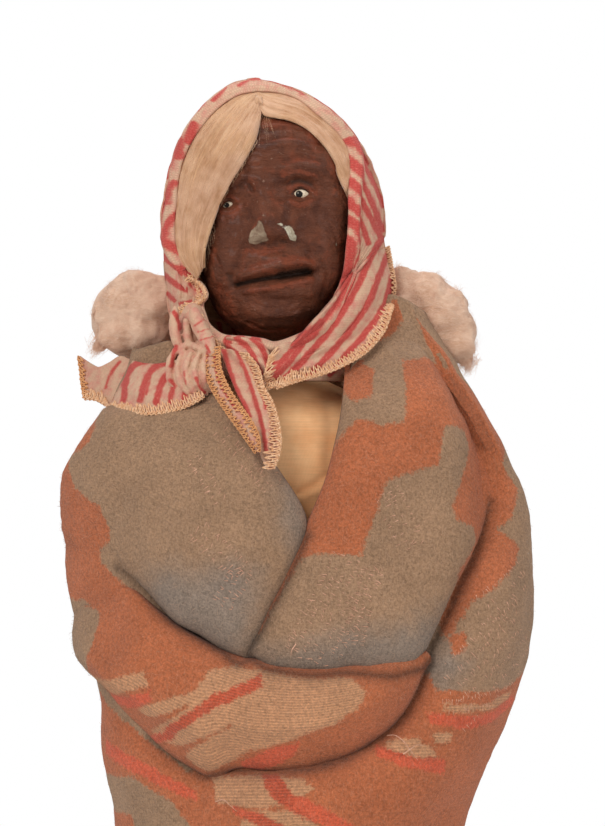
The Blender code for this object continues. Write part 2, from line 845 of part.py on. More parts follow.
hair_side = 9.3 * mm
hair_gap = 1.0 * mm
hair_front = 5.5 * mm
hood_fullness = 2.5 * mm
hood_half_width = head_half_width + hair_side + scarf_thickness + hood_fullness
hood_half_depth = head_half_depth + hair_front + scarf_thickness + fit_gap
hood_front_shift = 0.8 * mm

# height share, centre and half-width as shares of hood_half_width, half-depth of hood_half_depth
hood_row_shares = [
    (0.000, 0.02, 0.53, 0.86),
    (0.070, -0.02, 0.72, 0.92),
    (0.140, -0.04, 0.87, 0.96),
    (0.210, 0.00, 0.955, 0.985),
    (0.300, 0.01, 1.000, 1.000),
    (0.380, -0.02, 1.000, 1.000),
    (0.470, -0.045, 0.975, 1.000),
    (0.600, -0.035, 0.940, 0.970),
    (0.720, -0.067, 0.853, 0.900),
    (0.820, -0.100, 0.730, 0.790),
    (0.900, -0.130, 0.565, 0.630),
    (0.965, -0.210, 0.300, 0.360),
    (1.000, -0.230, 0.060, 0.070),
]
# The hood's opening round the face, and the wig's, as shares of hood_half_width and hood_height
hood_opening_shares = [
    (-0.237, 0.950), (-0.565, 0.895), (-0.742, 0.808), (-0.848, 0.686), (-0.895, 0.554), (-0.905, 0.455),
    (-0.857, 0.379), (-0.735, 0.313), (-0.665, 0.240), (-0.591, 0.177), (-0.433, 0.130), (-0.150, 0.108),
    (0.098, 0.120), (0.292, 0.164), (0.486, 0.273), (0.610, 0.399), (0.654, 0.537), (0.663, 0.653),
    (0.628, 0.769), (0.469, 0.861), (0.186, 0.925), (-0.079, 0.950),
]
wig_opening_shares = [
    (-0.150, 0.881), (0.186, 0.855), (0.433, 0.782), (0.584, 0.670), (0.664, 0.554), (0.681, 0.405),
    (0.584, 0.273), (0.380, 0.120), (0.200, -0.100), (-0.500, -0.100), (-0.640, 0.150), (-0.672, 0.299),
    (-0.655, 0.399), (-0.591, 0.498), (-0.486, 0.603), (-0.326, 0.719), (-0.202, 0.802),
]
wig_low_share = 0.20

knot_half_width = 10 * mm
knot_half_depth = 8.5 * mm
knot_half_height = 12 * mm
knot_turn = math.radians(-36)
knot_reach = 45 * mm
knot_rise = 8 * mm
knot_height = hood_base + knot_rise
tail_thickness = 1.5 * mm
tail_reach = 48.2 * mm
# Tails: degrees round the neck, reach share of tail_reach, height above the hood's base as a share of hood_height,
# half-width share of tail_width
tail_width = 9 * mm
narrow_tail_shares = [
    (-33.0, 1.07, 0.031, 0.30), (-27.0, 1.08, -0.030, 0.34), (-19.0, 1.075, -0.125, 0.28), (-12.0, 1.06, -0.220, 0.13),
]
wide_tail_shares = [
    (-21.0, 0.94, 0.058, 0.40), (-14.5, 1.00, -0.034, 0.66), (-9.0, 1.00, -0.151, 0.62), (-5.0, 0.99, -0.269, 0.22),
]
# Side tail: how far out from the knot's middle as a share of side_tail_length, y share of the knot's, height and
# half-width as above
side_tail_length = 50 * mm
side_tail_shares = [
    (0.10, 1.03, 0.027, 0.40), (0.31, 1.06, -0.003, 0.80), (0.60, 1.01, -0.013, 1.05),
    (0.85, 0.90, -0.011, 1.02), (1.00, 0.77, 0.012, 0.92),
]


def hood_rings(inset, low):
    """Level rings of the hood from low up to its crown, drawn in by the inset."""
    rings = []
    for height, shift, wide, deep in hood_row_shares:
        wide_size = max(wide * hood_half_width - inset, scarf_thickness / 2)
        deep_size = max(deep * hood_half_depth - inset, scarf_thickness / 2)
        top = hood_base + height * (hood_height - inset)
        rings.append(oval(
            -neck_offset + shift * hood_half_width, -hood_front_shift, wide_size, deep_size, top, around_hood
        ))
    return clipped(rings, low, rings[-1][0].z)


def make_wig_and_hood(head_room):
    outline = [
        (-neck_offset + x * hood_half_width, hood_base + z * hood_height) for x, z in hood_opening_shares
    ]
    hood = add_part("scarf_hood", loft(hood_rings(0, hood_base)), cotton)
    inside = loft(hood_rings(scarf_thickness, hood_base - overrun))
    combine(hood, "DIFFERENCE", add_cutter("hood_hollow", inside))
    opening = front_prism(outline, -2 * hood_half_depth, -hood_opening_back)
    combine(hood, "DIFFERENCE", add_cutter("hood_opening", opening))

    wig_low = hood_base + wig_low_share * hood_height
    wig = add_part("mohair_wig", loft(hood_rings(scarf_thickness + fit_gap, wig_low)), mohair)
    wig_outline = [
        (-neck_offset + x * hood_half_width, hood_base + z * hood_height) for x, z in wig_opening_shares
    ]
    wig_opening = front_prism(wig_outline, -2 * hood_half_depth, -hood_opening_back / 2)
    combine(wig, "DIFFERENCE", add_cutter("wig_opening", wig_opening))
    combine(wig, "DIFFERENCE", head_room)
    return hood, wig


hood_opening_back = 4 * mm


def strip(rows):
    return sweep(spline_rows(rows, 2), -neck_offset, 10)


def ring_rows(shares):
    """A tail's rows from degrees round the neck."""
    rows = []
    for degrees, reach, height, width in shares:
        angle = math.radians(degrees)
        rows.append((
            -neck_offset + tail_reach * reach * math.sin(angle), -tail_reach * reach * math.cos(angle),
            hood_base + height * hood_height, width * tail_width, tail_thickness,
        ))
    return rows


def make_knot_and_tails(hood):
    centre = (
        -neck_offset + knot_reach * math.sin(knot_turn), -knot_reach * math.cos(knot_turn), knot_height
    )
    knot = add_part(
        "scarf_knot", ball(knot_half_width, knot_half_depth, knot_half_height, centre, 20, 14, math.radians(15)),
        cotton,
    )
    keep_clear(knot, hood)
    side_rows = [
        (
            centre[0] - out * side_tail_length, y * centre[1], hood_base + height * hood_height,
            width * tail_width, tail_thickness,
        )
        for out, y, height, width in side_tail_shares
    ]
    tails = [
        add_part("scarf_side_tail", strip(side_rows), cotton),
        add_part("scarf_narrow_tail", strip(ring_rows(narrow_tail_shares)), cotton),
        add_part("scarf_wide_tail", strip(ring_rows(wide_tail_shares)), cotton),
    ]
    for tail in tails:
        keep_clear(tail, knot, hood)
    keep_clear(tails[1], tails[2])
    return knot, tails


# Assembly

def hang_from(empty, objects):
    for obj in objects:
        obj.parent = empty
        obj.matrix_parent_inverse = Matrix.Translation(-Vector(empty["at"]))


def make_empty(name, place, parent=None):
    empty = bpy.data.objects.new(name, None)
    parts.objects.link(empty)
    empty.location = place
    empty.parent = parent
    return empty


def main():
    clear_scene()
    spine, spine_room, board, lath, nail = make_frame()
    legs = [*make_leg(-1, "left", board), *make_leg(1, "right", board)]
    dress, solid_dress, bag, filling, tie = make_body()
    combine(filling, "DIFFERENCE", add_cutter("lath_slot", lath_slot()))
    combine(filling, "DIFFERENCE", spine_room)
    blanket, waddings = make_blanket(solid_dress)
    head, eyes, head_room = make_head()
    hood, wig = make_wig_and_hood(head_room)
    knot, tails = make_knot_and_tails(hood)

    doll = make_empty("doll", (0, spine_back, 0))
    doll["at"] = (0, 0, 0)
    head_turn = make_empty("head_turn", (-neck_offset, 0, spine_top_height), doll)
    head_turn["at"] = head_turn.location
    hang_from(doll, [spine, board, lath, nail, *legs, dress, bag, filling, tie, blanket, *waddings])
    hang_from(head_turn, [head, *eyes, hood, wig, knot, *tails])
    for obj in parts.objects:
        if obj.type == "MESH":
            obj.data.shade_smooth()
            obj.data.set_sharp_from_angle(angle=math.radians(40))


main()
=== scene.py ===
# Looks of the apple head doll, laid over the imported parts
import math

import bmesh
import bpy
import numpy as np
from mathutils import Matrix, Vector, noise
from mathutils.bvhtree import BVHTree


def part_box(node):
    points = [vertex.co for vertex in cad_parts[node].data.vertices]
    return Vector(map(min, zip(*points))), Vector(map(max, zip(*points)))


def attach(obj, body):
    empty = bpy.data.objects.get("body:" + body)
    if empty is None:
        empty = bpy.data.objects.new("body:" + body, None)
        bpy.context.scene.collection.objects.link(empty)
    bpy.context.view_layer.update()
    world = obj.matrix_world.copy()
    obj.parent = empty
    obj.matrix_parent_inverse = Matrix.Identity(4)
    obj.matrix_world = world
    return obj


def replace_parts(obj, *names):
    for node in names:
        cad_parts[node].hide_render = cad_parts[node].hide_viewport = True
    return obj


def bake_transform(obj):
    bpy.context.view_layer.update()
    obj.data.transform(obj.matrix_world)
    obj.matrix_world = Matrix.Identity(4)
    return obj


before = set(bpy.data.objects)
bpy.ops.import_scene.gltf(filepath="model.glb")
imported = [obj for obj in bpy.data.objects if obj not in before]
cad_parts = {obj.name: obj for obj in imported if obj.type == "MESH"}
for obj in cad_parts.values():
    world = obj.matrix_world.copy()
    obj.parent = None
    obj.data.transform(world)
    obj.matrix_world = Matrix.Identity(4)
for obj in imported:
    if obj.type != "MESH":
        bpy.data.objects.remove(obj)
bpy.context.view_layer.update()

mm = 0.001
pixel = 0.38 * mm  # of the photograph, at the doll's middle
topRow, topHeight = 80, 437  # the crown's row in the photograph and its height in mm
middleColumn, axisColumn = 302.5, 300  # of the photograph, and of the tables that are kept about the axis
spineBack = 7.2 * mm  # the spine stands this far behind the origin
chance = np.random.default_rng(7)

# Nodes of a shader, and what the materials share


def link(tree, fromSocket, toSocket):
    tree.links.new(fromSocket, toSocket)


def socketValues(node, **values):
    for name, value in values.items():
        node.inputs[name].default_value = value
    return node


def addNode(tree, kind, **settings):
    node = tree.nodes.new("ShaderNode" + kind)
    for name, value in settings.items():
        setattr(node, name, value)
    return node


def newGroup(name, inputs):
    # a group that gives a colour and a height
    tree = bpy.data.node_groups.new(name, "ShaderNodeTree")
    for label, kind, value in inputs:
        socket = tree.interface.new_socket(name=label, in_out="INPUT", socket_type="NodeSocket" + kind)
        if value is not None:
            socket.default_value = value
    for label, kind in (("Color", "Color"), ("Height", "Float")):
        tree.interface.new_socket(name=label, in_out="OUTPUT", socket_type="NodeSocket" + kind)
    return tree, tree.nodes.new("NodeGroupInput").outputs, tree.nodes.new("NodeGroupOutput").inputs


def feed(tree, socket, value):
    # a number, a colour or another node's output
    if isinstance(value, tuple):
        socket.default_value = (*value, 1)
    elif isinstance(value, (int, float)):
        socket.default_value = value
    else:
        link(tree, value, socket)


def useGroup(tree, group, **values):
    node = addNode(tree, "Group", node_tree=group)
    for name, value in values.items():
        feed(tree, node.inputs[name], value)
    return node.outputs


def arithmetic(tree, operation, *values):
    node = addNode(tree, "Math", operation=operation)
    for socket, value in zip(node.inputs, values):
        feed(tree, socket, value)
    return node.outputs[0]


def times(tree, first, second):
    return arithmetic(tree, "MULTIPLY", first, second)


def addTimes(tree, value, gain, onto):
    return arithmetic(tree, "MULTIPLY_ADD", value, gain, onto)


def spread(tree, value, gain, onto):
    # moved up and down by a noise about its middle
    return addTimes(tree, arithmetic(tree, "SUBTRACT", value, 0.5), gain, onto)


def blendColour(tree, factor, first, second, mode="MIX"):
    node = addNode(tree, "Mix", data_type="RGBA", blend_type=mode)
    for at, value in ((0, factor), (6, first), (7, second)):
        feed(tree, node.inputs[at], value)
    return node.outputs[2]


def noiseOf(tree, coordinates, scale, detail=4.0, roughness=0.6, distortion=0.0):
    node = addNode(tree, "TexNoise")
    socketValues(node, Scale=scale, Detail=detail, Roughness=roughness, Distortion=distortion)
    link(tree, coordinates, node.inputs["Vector"])
    return node.outputs["Fac"]


def scaledVector(tree, coordinates, scale, turn=(0, 0, 0)):
    node = socketValues(addNode(tree, "Mapping"), Scale=scale, Rotation=turn)
    link(tree, coordinates, node.inputs["Vector"])
    return node.outputs["Vector"]


def grainOf(tree, coordinates, scale, detail, roughness, distortion=0.0, turn=(0, 0, 0)):
    # a noise drawn out along some way
    return noiseOf(tree, scaledVector(tree, coordinates, scale, turn), 1.0, detail, roughness, distortion)


def wavesOf(tree, coordinates, way, pitch, distortion, detail, detailScale):
    # threads or ribs side by side, one in each pitch
    node = addNode(tree, "TexWave", wave_type="BANDS", bands_direction=way, wave_profile="SIN")
    socketValues(node, Scale=math.pi / pitch / 10, Distortion=distortion, Detail=detail)
    socketValues(node, **{"Detail Scale": detailScale})
    link(tree, coordinates, node.inputs["Vector"])
    return node.outputs["Fac"]


def rangeOf(tree, value, low, high, toLow=0.0, toHigh=1.0, smooth=False):
    node = addNode(tree, "MapRange", interpolation_type="SMOOTHSTEP" if smooth else "LINEAR")
    socketValues(node, **{"From Min": low, "From Max": high, "To Min": toLow, "To Max": toHigh})
    link(tree, value, node.inputs["Value"])
    return node.outputs["Result"]


def toned(tree, value, low, high, first, second, most=1.0, smooth=False):
    # from one colour toward another as a value climbs from low to high
    return blendColour(tree, rangeOf(tree, value, low, high, 0, most, smooth), first, second)


def shadedBy(tree, base, shade):
    grey = addNode(tree, "CombineColor")
    for socket in grey.inputs:
        link(tree, shade, socket)
    return blendColour(tree, 1.0, base, grey.outputs[0], "MULTIPLY")


def attributeOf(tree, key):
    return addNode(tree, "Attribute", attribute_type="GEOMETRY", attribute_name=key).outputs["Fac"]


def clothOf(tree):
    return addNode(tree, "UVMap", uv_map="cloth").outputs["UV"]


def colour(*screen):
    # a colour written as it shows on a screen, 0 to 255
    return tuple(c / 255 / 12.92 if c / 255 <= 0.04045 else ((c / 255 + 0.055) / 1.055) ** 2.4 for c in screen)


def newMaterial(name, roughness=0.9, sheen=0.0, specular=0.3, **more):
    material = bpy.data.materials.new(name)
    material.use_nodes = True
    tree = material.node_tree
    more.update({"Roughness": roughness, "Sheen Weight": sheen, "Specular IOR Level": specular})
    socketValues(tree.nodes["Principled BSDF"], **more)
    return material, tree, addNode(tree, "TexCoord").outputs["Object"]


def coated(material, base, height, depth, strength=1.0, roughness=None):
    # the material with its colour, its bumps and any roughness of its own
    tree = material.node_tree
    shader = tree.nodes["Principled BSDF"].inputs
    bump = socketValues(addNode(tree, "Bump"), Strength=strength, Distance=depth)
    link(tree, height, bump.inputs["Height"])
    link(tree, bump.outputs["Normal"], shader["Normal"])
    link(tree, base, shader["Base Color"])
    if roughness:
        link(tree, roughness, shader["Roughness"])
    return material


# Camera, light and floor

cameraSet = {"distance": 1.3, "column": 0.95 * mm, "height": 310.5 * mm, "seen": 313.9 * mm}
lightSet = {
    "key": (-0.75, -1.25, 1.25, 0.9, 15.5), "fill": (1.1, -1.0, 0.75, 1.1, 6.5), "top": (0.1, 0.5, 1.5, 1.0, 7.0),
    "room": 0.42, "aim": 0.28,
}

scene = bpy.context.scene
scene.view_settings.view_transform = "Standard"


def makeCamera():
    data = bpy.data.cameras.new("portrait")
    data.sensor_width = 36
    data.lens = 36 * cameraSet["distance"] / cameraSet["seen"]
    data.clip_start = 0.05
    camera = bpy.data.objects.new("portrait", data)
    camera.location = (cameraSet["column"], -cameraSet["distance"], cameraSet["height"])
    camera.rotation_euler = (math.radians(90), 0, 0)
    scene.collection.objects.link(camera)
    scene.camera = camera


def makeLights():
    for name in ("key", "fill", "top"):
        x, y, z, size, power = lightSet[name]
        data = bpy.data.lights.new(name, "AREA")
        data.shape = "DISK"
        data.size = size
        data.energy = power
        lamp = bpy.data.objects.new(name, data)
        lamp.location = (x, y, z)
        lamp.rotation_euler = (Vector((0, 0, lightSet["aim"])) - lamp.location).to_track_quat("-Z", "Y").to_euler()
        scene.collection.objects.link(lamp)
    world = bpy.data.worlds.new("studio")
    scene.world = world
    world.use_nodes = True
    tree = world.node_tree
    tree.nodes.clear()
    rays = addNode(tree, "LightPath").outputs
    through = arithmetic(tree, "MAXIMUM", rays["Is Glossy Ray"], rays["Is Transmission Ray"])
    mix = addNode(tree, "MixShader")
    link(tree, arithmetic(tree, "MAXIMUM", rays["Is Camera Ray"], through), mix.inputs[0])
    # a warm room lights the doll, and the camera sees white
    for at, tint, strength in ((1, (1, 0.985, 0.96, 1), lightSet["room"]), (2, (1, 1, 1, 1), 1)):
        back = socketValues(addNode(tree, "Background"), Color=tint, Strength=strength)
        link(tree, back.outputs[0], mix.inputs[at])
    link(tree, mix.outputs[0], addNode(tree, "OutputWorld").inputs[0])


def makeFloor():
    bm = bmesh.new()
    bmesh.ops.create_circle(bm, cap_ends=True, segments=96, radius=0.85)
    mesh = bpy.data.meshes.new("floor")
    bm.to_mesh(mesh)
    bm.free()
    floor = bpy.data.objects.new("floor", mesh)
    scene.collection.objects.link(floor)
    material = bpy.data.materials.new("paleFloor")
    material.use_nodes = True
    shader = material.node_tree.nodes["Principled BSDF"]
    socketValues(shader, **{"Base Color": (0.86, 0.86, 0.85, 1), "Roughness": 0.9})
    mesh.materials.append(material)


makeCamera()
makeLights()
makeFloor()
print("camera, lights and floor made")

# The wool's nap

def makeNapGroup():
    # felted wool surface: mottle of colour and a height of tangled fibres
    inputs = [("Vector", "Vector", None), ("Tint", "Color", (1, 1, 1, 1)), ("Depth", "Float", 1.0)]
    tree, given, out = newGroup("woolNap", inputs)
    place, tint = given["Vector"], given["Tint"]
    fine = noiseOf(tree, place, 1500, 5, 0.7)
    clump = noiseOf(tree, place, 900, 4, 0.65, 0.6)
    broad = noiseOf(tree, place, 60, 3, 0.5)
    hair = None
    for turn in ((0.3, 0.4, 0.5), (1.1, -0.7, 2.0), (-0.6, 0.9, -1.2)):
        other = grainOf(tree, place, (2600, 2600, 420), 2, 0.5, turn=turn)
        hair = arithmetic(tree, "MAXIMUM", hair, other) if hair else other
    shade = times(tree, rangeOf(tree, clump, 0.34, 0.6, 0.7, 1.1), rangeOf(tree, fine, 0.3, 0.7, 0.78, 1.22))
    shade = times(tree, shade, rangeOf(tree, broad, 0.3, 0.7, 0.9, 1.08))
    strength = addTimes(tree, arithmetic(tree, "SUBTRACT", shade, 1.0), given["Depth"], 1.0)
    pale = blendColour(tree, 0.45, tint, colour(240, 205, 178))
    link(tree, toned(tree, hair, 0.58, 0.80, shadedBy(tree, tint, strength), pale, 0.35), out["Color"])
    link(tree, addTimes(tree, clump, 0.8, addTimes(tree, hair, 0.7, fine)), out["Height"])
    return tree


napGroup = makeNapGroup()


patchKeys = ("terracotta", "beige", "coral", "coolShade", "creaseShade")
# the cool colour is painted shade for the folds' turned-away edges, not a tone of the wool
woolSet = {
    "ground": colour(165, 130, 101), "coolShade": colour(138, 125, 114), "terracotta": colour(187, 107, 70),
    "coral": colour(212, 98, 68), "beige": colour(216, 157, 116), "ribPitch": 1.15 * mm,
}


def makeBlanketWool(name, fibre=0.0):
    material, tree, place = newMaterial(name, 0.95, 0.12, 0.1)
    wander = noiseOf(tree, place, 700, 4, 0.7)
    wide = noiseOf(tree, place, 170, 2, 0.5)
    # painted shade: grey-blue patches darken the wool where the folds' edges turn away from the light
    shadeReach = spread(tree, wide, 9.0, attributeOf(tree, "coolShade"))
    base = toned(tree, shadeReach, -8, 9, woolSet["ground"], woolSet["coolShade"], 0.8, True)
    masks = {}
    for key in patchKeys[:3]:
        moved = spread(tree, wide, 2.4, spread(tree, wander, 5.2, attributeOf(tree, key)))
        masks[key] = rangeOf(tree, moved, -0.75, 0.75, 0, 1, True)
        base = blendColour(tree, masks[key], base, woolSet[key])
    ribs = wavesOf(tree, clothOf(tree), "Y", woolSet["ribPitch"], 1.6, 2, 30)
    ribAmount = addTimes(tree, masks["beige"], 0.5, 0.12)
    base = blendColour(tree, ribAmount, base, shadedBy(tree, base, rangeOf(tree, ribs, 0, 1, 0.72, 1.1)))
    if fibre:
        base = blendColour(tree, fibre, base, colour(226, 180, 150))
    # painted shade in the creases between the folds
    base = toned(tree, attributeOf(tree, "creaseShade"), 0, 1, base, colour(52, 36, 28), 0.72)
    nap = useGroup(tree, napGroup, Vector=place, Tint=base, Depth=0.4 if fibre else 1.0)
    return coated(material, nap["Color"], addTimes(tree, ribs, ribAmount, nap["Height"]), 0.00055, 0.9)


blanketWool = makeBlanketWool("blanketWool")
woolFibre = makeBlanketWool("woolFibre", 0.45)
print("wool material made")


def heightAt(row):
    return (topHeight - (row - topRow) * 0.38) * mm


def unit(ways):
    return ways / np.maximum(np.linalg.norm(ways, axis=-1, keepdims=True), 1e-9)


def treeOf(piece):
    # what a ray can hit
    bm = bmesh.new()
    bm.from_mesh(piece.data)
    tree = BVHTree.FromBMesh(bm)
    bm.free()
    return tree


def smoothShare(share):
    return share**2 * (3 - 2 * share)


# The wrapped form that all of the blanket's layers follow: height, left, right, front and back reach in mm

wrapRows = [
    (66, 58.0, 54.0, 44.0, 40.0), (100, 62.1, 57.2, 46.0, 41.8), (153, 70.0, 63.0, 49.0, 45.0),
    (184, 74.5, 75.0, 50.0, 47.0), (201, 76.0, 82.0, 50.0, 47.0), (217, 80.0, 86.5, 50.0, 47.0),
    (232, 85.0, 89.0, 49.0, 47.0), (247, 88.0, 89.0, 48.0, 47.0), (260, 89.3, 87.4, 47.0, 46.1),
    (277, 87.4, 84.0, 46.0, 46.1), (292, 82.5, 78.7, 44.0, 45.6), (312, 73.0, 69.0, 38.0, 46.3),
    (330, 64.5, 58.9, 27.0, 47.9), (346, 60.0, 49.0, 22.0, 48.9), (360, 58.5, 43.5, 19.0, 49.4),
]
wrapTable = np.array(wrapRows) * mm
girth = 88 * mm  # turns an angle round the wrap into a length


def rowsAt(z):
    heights = wrapTable[:, 0]
    z = np.clip(z, heights[0], heights[-1])
    i = np.clip(np.searchsorted(heights, z) - 1, 0, len(heights) - 2)
    step = heights[i + 1] - heights[i]
    t = ((z - heights[i]) / step)[..., None]
    slopes = np.gradient(wrapTable[:, 1:], heights, axis=0)
    low, high = wrapTable[i, 1:], wrapTable[i + 1, 1:]
    span = step[..., None]
    return (
        (2 * t**3 - 3 * t**2 + 1) * low + (t**3 - 2 * t**2 + t) * span * slopes[i]
        + (3 * t**2 - 2 * t**3) * high + (t**3 - t**2) * span * slopes[i + 1]
    )


def wrapPoint(angle, z):
    reach = rowsAt(z)
    wide = np.where(np.sin(angle) < 0, reach[..., 0], reach[..., 1])
    deep = np.where(np.cos(angle) > 0, reach[..., 2], reach[..., 3])
    return np.stack([wide * np.sin(angle), spineBack - deep * np.cos(angle), z], axis=-1)


def wrapNormal(angle, z):
    across = wrapPoint(angle + 0.02, z) - wrapPoint(angle - 0.02, z)
    up = wrapPoint(angle, z + 1.5 * mm) - wrapPoint(angle, z - 1.5 * mm)
    return unit(np.cross(across, up))


def onWrap(column, row, lift=0.0):
    # the angle and height on the wrap that a point of the picture falls on
    column, row = np.asarray(column, float), np.asarray(row, float)
    planeX = (column - middleColumn) * 0.38 * mm
    planeZ = heightAt(row) - cameraSet["height"]
    y = np.full(planeX.shape, -0.02)
    for _ in range(4):
        share = (cameraSet["distance"] + y) / cameraSet["distance"]
        x = cameraSet["column"] + planeX * share
        z = cameraSet["height"] + planeZ * share
        reach = rowsAt(z)
        wide = np.where(x < 0, reach[..., 0], reach[..., 1]) + lift
        angle = np.arcsin(np.clip(x / wide, -1, 1))
        y = spineBack - (reach[..., 2] + lift) * np.cos(angle)
    # a place outside the outline goes on round the side
    return angle + np.sign(x) * np.maximum(np.abs(x) - wide, 0) / girth, z


def unrolled(points, lift=0.0):
    points = np.array(points, float)
    angle, z = onWrap(points[:, 0], points[:, 1], lift)
    return np.stack([angle * girth, z], axis=-1)


def smoothLine(points, count, ease=0.0):
    # a smooth curve through the points, at even steps that may crowd toward both ends
    points = np.asarray(points, float)
    if len(points) > 2:
        padded = np.vstack([2 * points[0] - points[1], points, 2 * points[-1] - points[-2]])
        steps = np.linspace(0, 1, 9)[:-1, None]
        parts = []
        for a, b, c, d in zip(padded, padded[1:], padded[2:], padded[3:]):
            parts.append(0.5 * (2 * b + (c - a) * steps + (2 * a - 5 * b + 4 * c - d) * steps**2
                                + (3 * b - a - 3 * c + d) * steps**3))
        points = np.vstack(parts + [points[-1:]])
    lengths = np.concatenate([[0], np.cumsum(np.linalg.norm(np.diff(points, axis=0), axis=1))])
    t = np.linspace(0, 1, count)
    t = (1 - ease) * t + ease * (1 - np.cos(math.pi * t)) / 2
    return np.stack([np.interp(t * lengths[-1], lengths, points[:, k]) for k in range(points.shape[1])], axis=-1)


def distanceTo(line, where, most=9.0):
    # from each point to an open line, in metres of the unrolled cloth or in points of the picture
    best = np.full(len(where), most)
    for start, end in zip(line, line[1:]):
        along = end - start
        t = np.clip(((where - start) @ along) / max(along @ along, 1e-12), 0, 1)
        best = np.minimum(best, np.linalg.norm(where - start - t[:, None] * along, axis=1))
    return best


def farFrom(line, where):
    return distanceTo(line, where, 999.0)


def insideOf(shape, where):
    inside = np.zeros(len(where), bool)
    for (x0, y0), (x1, y1) in zip(shape, np.roll(shape, -1, axis=0)):
        crosses = (y0 > where[:, 1]) != (y1 > where[:, 1])
        at = x0 + (where[:, 1] - y0) * (x1 - x0) / (y1 - y0 if y1 != y0 else 1e-9)
        inside ^= crosses & (where[:, 0] < at)
    return inside


def patchDepth(shape, where):
    # how deep a point lies in a patch of colour, negative outside
    ring = np.vstack([shape, shape[:1]])
    return distanceTo(ring, where) * np.where(insideOf(shape, where), 1, -1)


# Colour patches of the blanket, and patches of painted cool shade where the folds turn away, traced: whole areas, and
# bands as a line with a width in mm

